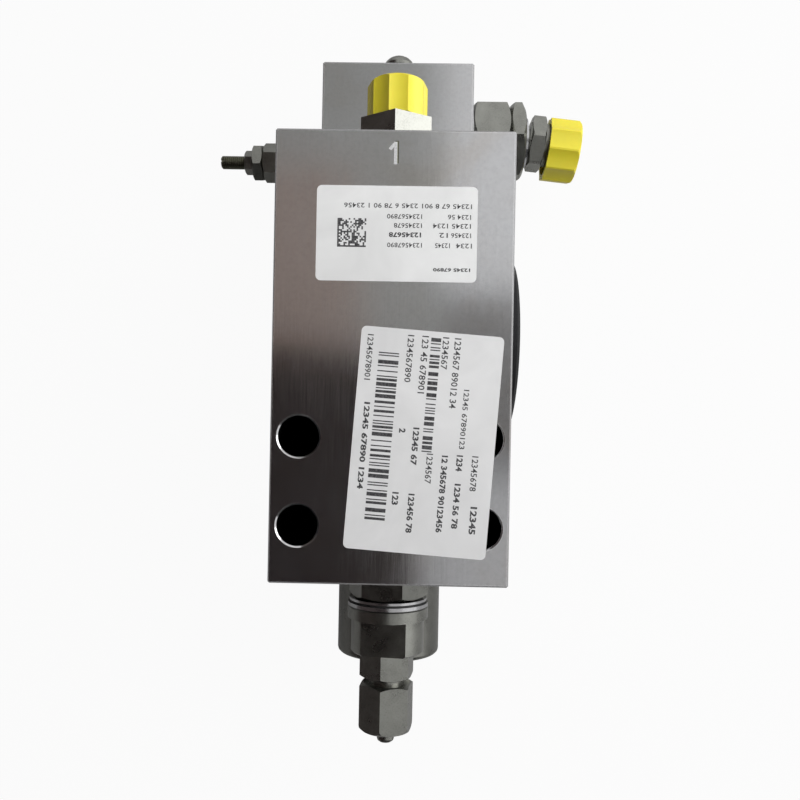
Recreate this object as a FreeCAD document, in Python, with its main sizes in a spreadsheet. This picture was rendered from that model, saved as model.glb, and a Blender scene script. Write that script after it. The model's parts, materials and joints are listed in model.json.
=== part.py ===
import FreeCAD, Part
import Sketcher
import math
import os
import re

# Hydraulic holding valve block, in millimetres.
# The origin is the centre of the port on the mounting face, which lies at height 0.
# X runs to the right and Y up along the block, seen from the label face, and Z points out of that face.

Vector = FreeCAD.Vector

SIZES = [
    ("block_width", 75.0, "front body, left to right"),
    ("block_low", 32.0, "port centre down to the lower end"),
    ("block_high", 109.8, "port centre up to the upper end of the front body"),
    ("block_depth", 95.0, "mounting face to label face"),
    ("block_edge", 0.5, "broken edges of the block"),
    ("rear_width", 56.0, "rear body that stands out at the upper end, left to right"),
    ("rear_high", 152.8, "port centre up to the upper end of the rear body"),
    ("rear_below", 16.2, "front gallery's axis down to the rear body's front"),
    ("bolt_across", 57.2, "through holes, left to right"),
    ("bolt_along", 27.8, "through holes, along the block"),
    ("bolt_hole", 13.0, "through hole diameter"),
    ("bolt_chamfer", 0.45, "broken mouths of the through holes"),
    ("port_bore", 25.0, "port on the mounting face, diameter"),
    ("port_deep", 9.0, "port on the mounting face, depth at its full diameter"),
    ("port_passage", 21.0, "passage from the port to the ring gallery, diameter"),
    ("seal_groove", 39.4, "outer diameter of the port's seal groove"),
    ("seal_groove_deep", 2.8, "depth of the port's seal groove"),
    ("seal_groove_wide", 4.6, "width of the port's seal groove"),
    ("port_seal_wire", 2.6, "thickness of the port's seal when flush"),
    ("side_up", 48.5, "side port above the port centre"),
    ("side_height", 47.5, "side port above the mounting face"),
    ("side_bore", 25.0, "side port diameter"),
    ("side_reach", 40.0, "side port depth from the side face"),
    ("tap_hole", 10.2, "threaded holes round the side port, core diameter"),
    ("tap_deep", 18.0, "threaded holes round the side port, depth"),
    ("main_height", 26.0, "main bore above the mounting face"),
    ("cap_thread", 36.0, "mouth of the main bore, diameter"),
    ("cap_thread_deep", 18.0, "depth of the mouth of the main bore"),
    ("sleeve_outer", 28.0, "sleeve diameter"),
    ("sleeve_shoulder", 62.0, "port centre up to the shoulder that stops the sleeve"),
    ("gallery_outer", 34.0, "ring galleries round the sleeve, diameter"),
    ("port_gallery", 18.0, "width of the ring gallery at the port"),
    ("side_gallery", 15.0, "width of the ring gallery at the side port"),
    ("stem_bore", 6.06, "hole that guides the pilot stem"),
    ("pilot_floor", 78.0, "port centre up to the floor of the pilot bore"),
    ("pilot_bore", 18.0, "pilot bore diameter"),
    ("plug_thread", 24.0, "top plug thread diameter"),
    ("plug_deep", 13.8, "top plug thread depth"),
    ("relief_clear", 2.6, "front body's upper end up to the relief cartridge's flats"),
    ("relief_thread", 18.0, "relief cartridge thread diameter"),
    ("relief_deep", 12.0, "relief cartridge thread depth"),
    ("relief_passage", 4.5, "passage from the pilot bore to the relief valve"),
    ("pilot_clear", 9.5, "front body's upper end up to the pilot adapter's flats"),
    ("pilot_thread", 20.0, "pilot port thread diameter"),
    ("pilot_deep", 11.0, "pilot port thread depth"),
    ("pilot_passage", 7.0, "passage from the pilot port to the pilot bore"),
    ("front_height", 66.2, "front gallery above the mounting face"),
    ("front_bore", 9.0, "front gallery diameter"),
    ("check_bore", 14.0, "check valve bore diameter"),
    ("check_seat", 20.0, "port centre up to the check valve's seat"),
    ("front_passage", 5.0, "drilling from the port to the check valve"),
    ("low_thread", 20.0, "lower front thread diameter"),
    ("low_deep", 14.0, "lower front thread depth"),
    ("high_thread", 18.0, "upper front thread diameter"),
    ("high_deep", 13.0, "upper front thread depth"),
    ("thread_gap", 0.05, "radial gap of a screwed or pushed in piece"),
    ("run_gap", 0.03, "radial gap of a sliding piece"),
    ("seat_gap", 0.1, "gap left where a moving piece rests"),
    ("nut_edge", 0.577, "slope of a hexagon's chamfer"),
    ("cap_outer", 40.0, "spring cap diameter"),
    ("cap_long", 38.4, "spring cap below the block"),
    ("cap_round", 1.5, "rounded lower edge of the spring cap"),
    ("cap_flare", 1.6, "collar of the spring cap at the block"),
    ("cap_seal", 1.2, "width and depth of the seal groove in that collar"),
    ("cap_chamber", 24.0, "spring chamber diameter"),
    ("cap_floor", 12.8, "thickness of the spring cap's end"),
    ("cap_key", 14.0, "hexagon socket in the spring cap's end, across flats"),
    ("cap_key_deep", 6.0, "depth of that socket"),
    ("sleeve_low", 30.0, "port centre down to the sleeve's lower end"),
    ("poppet_outer", 20.0, "main poppet guide diameter"),
    ("chamber_outer", 23.0, "sleeve chamber at the port, diameter"),
    ("throat", 15.0, "seat bore in the sleeve, diameter"),
    ("seat_up", 20.0, "port centre up to the main seat"),
    ("guide_up", -10.0, "port centre up to the upper end of the poppet's guide bore"),
    ("throat_top", 34.0, "port centre up to the upper end of the seat bore"),
    ("upper_chamber_top", 58.0, "port centre up to the roof of the sleeve's upper chamber"),
    ("window", 8.0, "windows in the sleeve, diameter"),
    ("ring_groove", 1.7, "depth of the small seal rings' grooves"),
    ("ring_groove_wide", 2.6, "width of the small seal rings' grooves"),
    ("ring_up", 28.0, "port centre up to the sleeve's seal"),
    ("poppet_low", 28.0, "port centre down to the poppet's lower end"),
    ("poppet_guide", 17.0, "length of the poppet's guide"),
    ("poppet_neck", 13.0, "poppet neck diameter"),
    ("poppet_head", 18.4, "poppet head diameter"),
    ("poppet_nose", 8.0, "poppet nose diameter"),
    ("poppet_top", 40.0, "port centre up to the end of the poppet's nose"),
    ("poppet_pocket", 14.4, "spring pocket in the poppet, diameter"),
    ("poppet_pocket_deep", 8.0, "depth of that pocket"),
    ("main_wire", 2.2, "main spring wire"),
    ("main_coil", 11.4, "main spring mean diameter"),
    ("main_turns", 7.5, "main spring turns"),
    ("disc_thick", 3.0, "main spring seat thickness"),
    ("disc_nub", 8.6, "centring boss of the spring seats, diameter"),
    ("disc_nub_high", 3.0, "height of that boss"),
    ("piston_low", 92.0, "port centre up to the pilot piston's head"),
    ("piston_long", 20.0, "pilot piston head length"),
    ("stem", 6.0, "pilot piston stem diameter"),
    ("pilot_wire", 1.4, "pilot spring wire"),
    ("pilot_coil", 13.0, "pilot spring mean diameter"),
    ("pilot_turns", 4.0, "pilot spring turns"),
    ("stop_screw", 8.0, "stroke stop screw diameter"),
    ("stop_stand", 9.0, "stroke stop screw above its washer"),
    ("plug_seal_up", 3.0, "seal ring above the top plug's inner end"),
    ("pin_hole", 4.0, "spanner holes in the top plug, diameter"),
    ("pin_circle", 18.6, "circle of the spanner holes"),
    ("pin_deep", 5.0, "depth of the spanner holes"),
    ("dome_flats", 13.0, "dome nut across flats"),
    ("dome_hex", 7.5, "dome nut hexagon height"),
    ("dome_outer", 12.5, "dome nut dome diameter"),
    ("dome_high", 12.4, "dome nut height"),
    ("washer_thick", 1.2, "sealing washer thickness"),
    ("high_flats", 24.0, "upper fitting across flats"),
    ("high_hex", 11.8, "upper fitting hexagon height"),
    ("high_end", 16.0, "upper fitting outer thread diameter"),
    ("high_end_long", 11.7, "upper fitting outer thread length"),
    ("fitting_bore", 6.0, "bore through the fittings"),
    ("high_cap", 20.9, "upper protective cap diameter"),
    ("high_cap_long", 12.7, "upper protective cap length"),
    ("high_cap_stand", 1.1, "thread left bare under the upper protective cap"),
    ("cap_roof", 2.0, "protective cap end thickness"),
    ("cap_slack", 0.25, "radial gap of a protective cap on its fitting"),
    ("cap_shoulder", 0.9, "broken outer edge of a protective cap"),
    ("cap_hollow", 0.9, "depth of the hollows round a protective cap"),
    ("low_flats", 24.0, "lower fitting's first hexagon across flats"),
    ("low_hex", 9.0, "lower fitting's first hexagon height"),
    ("low_ring_outer", 27.8, "bright rings diameter"),
    ("backup_thick", 0.8, "back-up ring thickness"),
    ("rubber_thick", 0.7, "thickness of the rubber ring under the back-up ring"),
    ("bonded_thick", 1.2, "bonded seal thickness"),
    ("low_neck", 16.0, "neck that carries the rings, diameter"),
    ("collar_outer", 27.9, "reducer collar diameter"),
    ("collar_high", 4.2, "reducer collar height"),
    ("barrel_outer", 25.2, "reducer barrel diameter"),
    ("barrel_high", 11.9, "reducer barrel height"),
    ("barrel_flats", 20.0, "flats milled on the reducer barrel"),
    ("tube_flats", 17.0, "tube nut and its fitting across flats"),
    ("tube_hex", 9.0, "tube fitting hexagon height"),
    ("tube_thread", 12.0, "tube fitting thread diameter"),
    ("tube_thread_long", 12.0, "tube fitting thread length"),
    ("nut_space", 1.9, "groove between the tube fitting and its nut"),
    ("nut_long", 16.95, "tube nut length"),
    ("nut_mouth", 6.3, "hole in the tube nut's end, diameter"),
    ("nut_round", 2.4, "rounding of the tube nut's end"),
    ("nut_end", 12.0, "flat end of the tube nut, diameter"),
    ("nut_thread_space", 11.6, "depth of the tube nut's threaded bore"),
    ("plug_stem", 6.0, "blanking plug stem diameter"),
    ("plug_stand", 4.1, "blanking plug nub beyond the tube nut"),
    ("plug_dome", 1.6, "height of the blanking plug's domed end"),
    ("plug_cone", 9.2, "blanking plug cone diameter"),
    ("adapter_flats", 27.0, "pilot adapter across flats"),
    ("adapter_hex", 14.6, "pilot adapter hexagon height"),
    ("adapter_socket", 14.1, "socket in the pilot adapter, diameter"),
    ("adapter_socket_deep", 9.4, "depth of that socket"),
    ("adapter_neck", 22.0, "pilot adapter outer thread diameter"),
    ("jam_thick", 5.8, "pilot lock nut thickness"),
    ("reducer_flats", 19.0, "pilot reducer across flats"),
    ("reducer_turned", 21.2, "pilot reducer hexagon, turned diameter"),
    ("reducer_hex", 5.4, "pilot reducer hexagon height"),
    ("reducer_end", 16.0, "pilot reducer outer thread diameter"),
    ("reducer_end_long", 11.0, "pilot reducer outer thread length"),
    ("reducer_stud", 11.0, "pilot reducer's inner stud, diameter"),
    ("reducer_tail", 9.0, "length of that stud"),
    ("reducer_neck", 16.0, "pilot reducer neck diameter"),
    ("reducer_neck_long", 0.5, "pilot reducer neck length"),
    ("reducer_edge", 0.5, "broken edges of the pilot reducer's hexagon"),
    ("reducer_droop", 6.0, "angle that the loose pilot reducer hangs by, in degrees"),
    ("pilot_ring", 18.6, "pilot sealing washer diameter"),
    ("side_cap", 24.2, "pilot protective cap diameter"),
    ("side_cap_long", 12.0, "pilot protective cap length"),
    ("side_cap_stand", 1.5, "thread left bare under the pilot protective cap"),
    ("side_slack", 1.75, "radial gap of the pilot protective cap, which hangs on its thread"),
    ("relief_flats", 22.0, "relief cartridge hexagon across flats"),
    ("relief_hex", 8.0, "relief cartridge hexagon height"),
    ("relief_tail_flats", 13.0, "relief cartridge tail across flats"),
    ("relief_tail", 16.0, "relief cartridge tail length"),
    ("relief_bore", 8.0, "relief spring bore diameter"),
    ("relief_seat_bore", 4.0, "relief seat diameter"),
    ("relief_seat_thick", 3.0, "relief seat ring thickness"),
    ("relief_poppet_head", 6.4, "relief poppet head diameter"),
    ("relief_poppet_long", 9.0, "relief poppet length"),
    ("relief_wire", 1.1, "relief spring wire"),
    ("relief_coil", 5.8, "relief spring mean diameter"),
    ("relief_turns", 7.0, "relief spring turns"),
    ("relief_plate", 2.0, "relief spring plate thickness"),
    ("relief_plate_back", 20.0, "rear body's side to the back of the relief spring plate"),
    ("sleeve_nut", 4.2, "nut on the relief cartridge's tail, thickness"),
    ("adjuster", 5.0, "adjusting screw diameter"),
    ("adjuster_stand", 9.6, "adjusting screw beyond its lock nut"),
    ("lock_flats", 8.0, "adjusting screw lock nut across flats"),
    ("lock_thick", 3.4, "adjusting screw lock nut thickness"),
    ("check_long", 20.0, "check poppet length"),
    ("check_wire", 1.2, "check spring wire"),
    ("check_coil", 8.2, "check spring mean diameter"),
    ("check_turns", 6.0, "check spring turns"),
    ("check_pocket", 10.2, "spring pocket in the check poppet, diameter"),
    ("check_pocket_deep", 11.0, "depth of that pocket"),
    ("cover_outer", 63.5, "side port cover diameter"),
    ("cover_thick", 4.8, "side port cover thickness"),
    ("cover_round", 1.0, "rounded rim of the side port cover"),
    ("spigot_long", 9.0, "side port cover spigot length"),
    ("spigot_wall", 2.0, "side port cover spigot wall"),
]

ALIASES = {name for name, value, note in SIZES}

# Directions that a piece's own axis can take.
UP_THE_BLOCK = FreeCAD.Rotation(Vector(1, 0, 0), -90)
DOWN_THE_BLOCK = FreeCAD.Rotation(Vector(1, 0, 0), 90)
TO_THE_RIGHT = FreeCAD.Rotation(Vector(0, 1, 0), 90)
TO_THE_LEFT = FreeCAD.Rotation(Vector(0, 1, 0), -90)
OUT_OF_THE_FACE = FreeCAD.Rotation()

# A hexagon's blank, in parts of its size across flats: where the chamfer starts, and just past the corners.
CHAMFER_START = 0.475
CORNER_REACH = 0.578

# The outer circle of a milling sketch, in parts of the size across flats.
CUTTER_REACH = 1.3

# A protective cap's hollows: how many, and their diameter in parts of the cap's.
CAP_FLATS = 10
HOLLOW_REACH = 1.2

# The rear body's two side ports above the port centre, clear of the front body's end.
PILOT_UP = "block_high + pilot_clear + adapter_flats / 2"
RELIEF_UP = "block_high + relief_clear + relief_flats / 2"

doc = FreeCAD.newDocument("valve_block")


def make_sheet():
    """The sheet of driving sizes, one row each."""
    sheet = doc.addObject("Spreadsheet::Sheet", "Sizes")
    for row, (name, value, note) in enumerate(SIZES, start=1):
        sheet.set("A%d" % row, name)
        sheet.set("B%d" % row, str(value))
        sheet.setAlias("B%d" % row, name)
        sheet.set("C%d" % row, note)
    doc.recompute()
    return sheet


def tied(text):
    """An expression in which every size's name points to its cell."""
    return re.sub(r"[a-z_]+", lambda word: "Sizes." + word.group(0) if word.group(0) in ALIASES
                  else word.group(0), text)


sheet = make_sheet()


def value(text):
    """The number that an expression gives now."""
    return float(sheet.evalExpression(tied(text)))


def new_piece(label, turn, x="0", y="0", z="0"):
    """A sub-part whose own Z axis points the given way from a place tied to the sizes."""
    piece = doc.addObject("PartDesign::Body", label)
    piece.Label = label
    piece.Placement = FreeCAD.Placement(Vector(), turn)
    for axis, text in (("x", x), ("y", y), ("z", z)):
        piece.setExpression("Placement.Base." + axis, tied(text))
    return piece


def new_sketch(piece, role, offset=None, turn=0.0):
    """A sketch on one of the piece's own planes, turned and moved by an offset tied to the sizes."""
    sketch = piece.newObject("Sketcher::SketchObject", "Sketch")
    plane = [item for item in piece.Origin.OriginFeatures if item.Role == role][0]
    sketch.AttachmentSupport = [(plane, "")]
    sketch.MapMode = "FlatFace"
    sketch.AttachmentOffset = FreeCAD.Placement(Vector(), FreeCAD.Rotation(Vector(0, 0, 1), turn))
    for axis, text in (offset or {}).items():
        sketch.setExpression("AttachmentOffset.Base." + axis, tied(text))
    return sketch


def tie(sketch, kind, item, point, text):
    """Ties one coordinate of a sketch point to the sizes."""
    constraint = Sketcher.Constraint(kind, -1, 1, item, point, value(text))
    index = sketch.addConstraint(constraint)
    sketch.setExpression("Constraints[%d]" % index, tied(text))


def add_outline(sketch, corners):
    """A closed outline of straight edges, each corner tied to the sizes."""
    places = [Vector(value(across), value(up), 0) for across, up in corners]
    count = len(places)
    first = sketch.GeometryCount
    for index in range(count):
        sketch.addGeometry(Part.LineSegment(places[index], places[(index + 1) % count]))
    for index in range(count):
        following = first + (index + 1) % count
        sketch.addConstraint(Sketcher.Constraint("Coincident", first + index, 2, following, 1))
    for index, (across, up) in enumerate(corners):
        tie(sketch, "DistanceX", first + index, 1, across)
        tie(sketch, "DistanceY", first + index, 1, up)


def add_circle(sketch, across, up, diameter):
    """A circle whose centre and diameter are tied to the sizes."""
    centre = Vector(value(across), value(up), 0)
    item = sketch.addGeometry(Part.Circle(centre, Vector(0, 0, 1), value(diameter) / 2))
    tie(sketch, "DistanceX", item, 3, across)
    tie(sketch, "DistanceY", item, 3, up)
    index = sketch.addConstraint(Sketcher.Constraint("Diameter", item, value(diameter)))
    sketch.setExpression("Constraints[%d]" % index, tied(diameter))


def polygon(flats, sides, turn):
    """Corners of a regular polygon given across its flats, first corner turned from X."""
    radius = "(%s) / 2 / cos(%s)" % (flats, 180 / sides)
    angles = [turn + 360 * step / sides for step in range(sides)]
    return [("%s * cos(%s)" % (radius, angle), "%s * sin(%s)" % (radius, angle)) for angle in angles]


def turn_solid(piece, corners):
    """Material turned about the piece's axis, from corners of (radius, height)."""
    sketch = new_sketch(piece, "XZ_Plane")
    add_outline(sketch, corners)
    feature = piece.newObject("PartDesign::Revolution", "Turned")
    feature.Profile = sketch
    feature.ReferenceAxis = (sketch, ["V_Axis"])
    feature.Angle = 360
    doc.recompute()
    return feature


def turn_away(piece, corners):
    """A recess turned about the piece's axis, from corners of (radius, height)."""
    sketch = new_sketch(piece, "XZ_Plane")
    add_outline(sketch, corners)
    return groove(piece, sketch, "V_Axis")


def groove(piece, sketch, axis):
    """A recess turned about one of the sketch's axes; it has to take material away."""
    before = piece.Shape.Volume
    feature = piece.newObject("PartDesign::Groove", "Groove")
    feature.Profile = sketch
    feature.ReferenceAxis = (sketch, [axis])
    feature.Angle = 360
    doc.recompute()
    check_cut(piece, before)
    return feature


def check_cut(piece, before):
    """Stops the build if a cut has left the piece as it was."""
    if piece.Shape.Volume >= before - 1e-6:
        raise RuntimeError(piece.Label + ": a cut removes nothing")


def mill_hexagon(piece, low, high, flats, around="0", turn=0.0):
    """A hexagon milled on a turned piece between two heights; around is the blank's diameter if larger."""
    sketch = new_sketch(piece, "XY_Plane", {"z": low})
    add_outline(sketch, polygon(flats, 6, turn))
    add_circle(sketch, "0", "0", "max(%s; %s) * %s" % (flats, around, CUTTER_REACH))
    return cut(piece, sketch, "(%s) - (%s)" % (high, low), reverse=True)


def cut(piece, sketch, length, reverse=False, through=False):
    """A pocket of the given length; it has to take material away."""
    before = piece.Shape.Volume
    feature = piece.newObject("PartDesign::Pocket", "Pocket")
    feature.Profile = sketch
    feature.Reversed = reverse
    if through:
        feature.Type = "ThroughAll"
    else:
        feature.setExpression("Length", tied(length))
    doc.recompute()
    check_cut(piece, before)
    return feature


def pad(piece, sketch, length, reverse=False):
    """Material of the given length on the sketch's own side, or on the other one."""
    feature = piece.newObject("PartDesign::Pad", "Pad")
    feature.Profile = sketch
    feature.Reversed = reverse
    feature.setExpression("Length", tied(length))
    doc.recompute()
    return feature


def ring_of_holes(piece, height, diameter, reach, count):
    """Round holes through a sleeve's wall, evenly spaced about its axis."""
    sketch = new_sketch(piece, "XZ_Plane")
    add_circle(sketch, "0", height, diameter)
    repeat(piece, cut(piece, sketch, reach), count)


def repeat(piece, feature, count):
    """The same cut again, evenly spaced about the piece's axis."""
    pattern = piece.newObject("PartDesign::PolarPattern", "Pattern")
    pattern.Originals = [feature]
    axis = [item for item in piece.Origin.OriginFeatures if item.Role == "Z_Axis"][0]
    pattern.Axis = (axis, [""])
    pattern.Angle = 360
    pattern.Occurrences = count
    piece.Tip = pattern
    doc.recompute()


def hex_blank(flats, low, high, broken=("low", "high")):
    """Side of a hexagon's blank from its low end to its high end, with chamfers at the named ends."""
    face = "%s * %s" % (flats, CHAMFER_START)
    corner = "%s * %s" % (flats, CORNER_REACH)
    drop = "%s * (%s - %s) * nut_edge" % (flats, CORNER_REACH, CHAMFER_START)
    start = [(face, low), (corner, "%s + %s" % (low, drop))] if "low" in broken else [(corner, low)]
    end = [(corner, "%s - %s" % (high, drop)), (face, high)] if "high" in broken else [(corner, high)]
    return start + end


def domed(edge, middle, low, rise, steps):
    """Corners of a quarter of an ellipse, from its edge's radius at a low height in to its middle's."""
    corners = []
    for step in range(steps):
        angle = 90 * step / steps
        across = "%s + (%s - (%s)) * cos(%s)" % (middle, edge, middle, angle)
        corners.append((across, "%s + (%s) * sin(%s)" % (low, rise, angle)))
    return corners + [(middle, "%s + %s" % (low, rise))]


def valve_block():
    """The block: front body, the longer rear body behind it, and every bore."""
    block = new_piece("valve_block", OUT_OF_THE_FACE)
    front = new_sketch(block, "XY_Plane")
    add_outline(front, [("-block_width / 2", "-block_low"), ("block_width / 2", "-block_low"),
                        ("block_width / 2", "block_high"), ("-block_width / 2", "block_high")])
    pad(block, front, "block_depth")
    chamfer_edges(block, edges_from(block, -value("block_low") - 0.01), "block_edge")
    add_rear_body(block)
    cut_main_bore(block)
    cut_front_gallery(block)
    cut_mounting_port(block)
    cut_side_port(block)
    cut_rear_ports(block)
    cut_bolt_holes(block)
    return block


def add_rear_body(block):
    """The rear body, longer than the front body and clear of the upper fitting, with its edges broken."""
    section = new_sketch(block, "XZ_Plane")
    side = "rear_width / 2"
    front = "front_height - rear_below"
    add_outline(section, [
        ("block_edge - " + side, "0"), (side + " - block_edge", "0"), (side, "block_edge"),
        (side, front + " - block_edge"), (side + " - block_edge", front),
        ("block_edge - " + side, front), ("-" + side, front + " - block_edge"),
        ("-" + side, "block_edge"),
    ])
    pad(block, section, "rear_high", reverse=True)
    chamfer_edges(block, edges_from(block, value("rear_high") - 0.01), "block_edge")


def edges_from(piece, low):
    """Names of the piece's edges that lie wholly above a place along the block."""
    return ["Edge%d" % index for index, edge in enumerate(piece.Shape.Edges, start=1)
            if edge.BoundBox.YMin > low]


def chamfer_edges(piece, edges, size):
    """A chamfer on the named edges of the piece as it stands."""
    base = piece.Tip
    feature = piece.newObject("PartDesign::Chamfer", "Chamfer")
    feature.Base = (base, edges)
    feature.setExpression("Size", tied(size))
    doc.recompute()


def cut_main_bore(block):
    """Stepped bore along the block: cap thread, sleeve, two ring galleries, stem, pilot and plug."""
    sketch = new_sketch(block, "YZ_Plane", {"y": "main_height"})
    add_outline(sketch, [
        ("-block_low", "0"), ("-block_low", "cap_thread / 2"),
        ("cap_thread_deep - block_low", "cap_thread / 2"),
        ("cap_thread_deep - block_low", "sleeve_outer / 2"),
        ("-port_gallery / 2", "sleeve_outer / 2"), ("-port_gallery / 2", "gallery_outer / 2"),
        ("port_gallery / 2", "gallery_outer / 2"), ("port_gallery / 2", "sleeve_outer / 2"),
        ("side_up - side_gallery / 2", "sleeve_outer / 2"),
        ("side_up - side_gallery / 2", "gallery_outer / 2"),
        ("side_up + side_gallery / 2", "gallery_outer / 2"),
        ("side_up + side_gallery / 2", "sleeve_outer / 2"),
        ("sleeve_shoulder", "sleeve_outer / 2"), ("sleeve_shoulder", "stem_bore / 2"),
        ("pilot_floor", "stem_bore / 2"), ("pilot_floor", "pilot_bore / 2"),
        ("rear_high - plug_deep", "pilot_bore / 2"), ("rear_high - plug_deep", "plug_thread / 2"),
        ("rear_high", "plug_thread / 2"), ("rear_high", "0"),
    ])
    groove(block, sketch, "H_Axis")


def cut_front_gallery(block):
    """Front gallery: thread and check valve bore below, seat, gallery and thread above."""
    sketch = new_sketch(block, "YZ_Plane", {"y": "front_height"})
    add_outline(sketch, [
        ("-block_low", "0"), ("-block_low", "low_thread / 2"),
        ("low_deep - block_low", "low_thread / 2"), ("low_deep - block_low", "check_bore / 2"),
        ("check_seat", "check_bore / 2"), ("check_seat", "front_bore / 2"),
        ("block_high - high_deep", "front_bore / 2"), ("block_high - high_deep", "high_thread / 2"),
        ("block_high", "high_thread / 2"), ("block_high", "0"),
    ])
    groove(block, sketch, "H_Axis")


def cut_mounting_port(block):
    """Port on the mounting face, the drilling on to the check valve, and the seal groove."""
    sketch = new_sketch(block, "XZ_Plane")
    add_outline(sketch, [
        ("0", "0"), ("port_bore / 2", "0"), ("port_bore / 2", "port_deep"),
        ("port_passage / 2", "port_deep"), ("port_passage / 2", "main_height"),
        ("front_passage / 2", "main_height"), ("front_passage / 2", "front_height"),
        ("0", "front_height"),
    ])
    groove(block, sketch, "V_Axis")
    seal = new_sketch(block, "XZ_Plane")
    add_outline(seal, [
        ("seal_groove / 2 - seal_groove_wide", "0"), ("seal_groove / 2", "0"),
        ("seal_groove / 2", "seal_groove_deep"),
        ("seal_groove / 2 - seal_groove_wide", "seal_groove_deep"),
    ])
    groove(block, seal, "V_Axis")


def cut_side_port(block):
    """Port in the right side with the four threaded holes of its flange."""
    bore = new_sketch(block, "XY_Plane", {"y": "side_up", "z": "side_height"})
    add_outline(bore, [
        ("block_width / 2 - side_reach", "0"), ("block_width / 2", "0"),
        ("block_width / 2", "side_bore / 2"), ("block_width / 2 - side_reach", "side_bore / 2"),
    ])
    groove(block, bore, "H_Axis")
    taps = new_sketch(block, "YZ_Plane", {"z": "block_width / 2"})
    for along in ("side_up - bolt_along / 2", "side_up + bolt_along / 2"):
        for up in ("side_height - bolt_across / 2", "side_height + bolt_across / 2"):
            add_circle(taps, along, up, "tap_hole")
    cut(block, taps, "tap_deep")


def cut_rear_ports(block):
    """Relief valve bore in the rear body's left side and pilot port in its right side."""
    relief = new_sketch(block, "XY_Plane", {"y": RELIEF_UP, "z": "main_height"})
    add_outline(relief, [
        ("-rear_width / 2", "0"), ("-rear_width / 2", "relief_thread / 2"),
        ("relief_deep - rear_width / 2", "relief_thread / 2"),
        ("relief_deep - rear_width / 2", "relief_passage / 2"),
        ("-pilot_bore / 4", "relief_passage / 2"), ("-pilot_bore / 4", "0"),
    ])
    groove(block, relief, "H_Axis")
    pilot = new_sketch(block, "XY_Plane", {"y": PILOT_UP, "z": "main_height"})
    add_outline(pilot, [
        ("rear_width / 2", "0"), ("rear_width / 2", "pilot_thread / 2"),
        ("rear_width / 2 - pilot_deep", "pilot_thread / 2"),
        ("rear_width / 2 - pilot_deep", "pilot_passage / 2"),
        ("pilot_bore / 4", "pilot_passage / 2"), ("pilot_bore / 4", "0"),
    ])
    groove(block, pilot, "H_Axis")


def cut_bolt_holes(block):
    """Four through holes round the mounting port, broken at their mouths in the label face."""
    sketch = new_sketch(block, "XY_Plane")
    for across in ("-bolt_across / 2", "bolt_across / 2"):
        for along in ("-bolt_along / 2", "bolt_along / 2"):
            add_circle(sketch, across, along, "bolt_hole")
    cut(block, sketch, "block_depth", reverse=True, through=True)
    radius = value("bolt_hole / 2")
    mouths = []
    for index, edge in enumerate(block.Shape.Edges, start=1):
        level = edge.BoundBox.ZMin > value("block_depth") - 0.01
        if level and hasattr(edge.Curve, "Radius") and abs(edge.Curve.Radius - radius) < 0.001:
            mouths.append("Edge%d" % index)
    chamfer_edges(block, mouths, "bolt_chamfer")


def port_seal():
    """Seal ring in the mounting face's groove, pressed flush with the face."""
    seal = new_piece("port_seal", OUT_OF_THE_FACE)
    ring(seal, "seal_groove / 2 - seal_groove_wide / 2", "seal_groove_deep - port_seal_wire / 2",
         "port_seal_wire")
    return seal


def ring(piece, radius, height, wire):
    """A round seal ring about the piece's axis."""
    sketch = new_sketch(piece, "XZ_Plane")
    add_circle(sketch, radius, height, wire)
    feature = piece.newObject("PartDesign::Revolution", "Ring")
    feature.Profile = sketch
    feature.ReferenceAxis = (sketch, ["V_Axis"])
    feature.Angle = 360
    doc.recompute()


def main_height_piece(label, y, turn=UP_THE_BLOCK):
    """A piece on the main bore's axis whose low end stands at y."""
    return new_piece(label, turn, y=y, z="main_height")


def spring_cap():
    """Cap over the main spring: a threaded skirt round the sleeve, a collar and a closed barrel."""
    cap = main_height_piece("spring_cap", "-block_low - cap_long")
    seat = "block_low + cap_long - sleeve_low"
    top = "cap_long + cap_thread_deep - thread_gap"
    turn_solid(cap, [
        ("0", "0"),
    ] + domed("cap_outer / 2", "cap_outer / 2 - cap_round", "cap_round", "-cap_round", 3)[::-1] + [
        ("cap_outer / 2", "cap_long - cap_flare"), ("cap_outer / 2 + cap_flare", "cap_long"),
        ("cap_thread / 2 - thread_gap", "cap_long"), ("cap_thread / 2 - thread_gap", top),
        ("sleeve_outer / 2 + thread_gap", top), ("sleeve_outer / 2 + thread_gap", seat),
        ("cap_chamber / 2", seat), ("cap_chamber / 2", "cap_floor"), ("0", "cap_floor"),
    ])
    key = new_sketch(cap, "XY_Plane")
    add_outline(key, polygon("cap_key", 6, 0))
    cut(cap, key, "cap_key_deep", reverse=True)
    outer = "cap_outer / 2 - 0.1"
    turn_away(cap, [(outer + " - cap_seal", "cap_long - cap_seal"), (outer, "cap_long - cap_seal"),
                    (outer, "cap_long + 1"), (outer + " - cap_seal", "cap_long + 1")])
    return cap


def spring_cap_seal():
    """Seal ring in the spring cap's collar, against the block's lower end."""
    seal = main_height_piece("spring_cap_seal", "-block_low")
    ring(seal, "cap_outer / 2 - 0.1 - cap_seal / 2", "-cap_seal / 2", "cap_seal - run_gap")
    return seal


def main_spring_seat():
    """Disc with a centring boss in the bottom of the spring cap."""
    seat = main_height_piece("main_spring_seat", "cap_floor - block_low - cap_long")
    turn_solid(seat, [
        ("0", "0"), ("cap_chamber / 2 - run_gap - thread_gap", "0"),
        ("cap_chamber / 2 - run_gap - thread_gap", "disc_thick"), ("disc_nub / 2", "disc_thick"),
        ("disc_nub / 2 - block_edge", "disc_thick + disc_nub_high"), ("0", "disc_thick + disc_nub_high"),
    ])
    return seat


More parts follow.
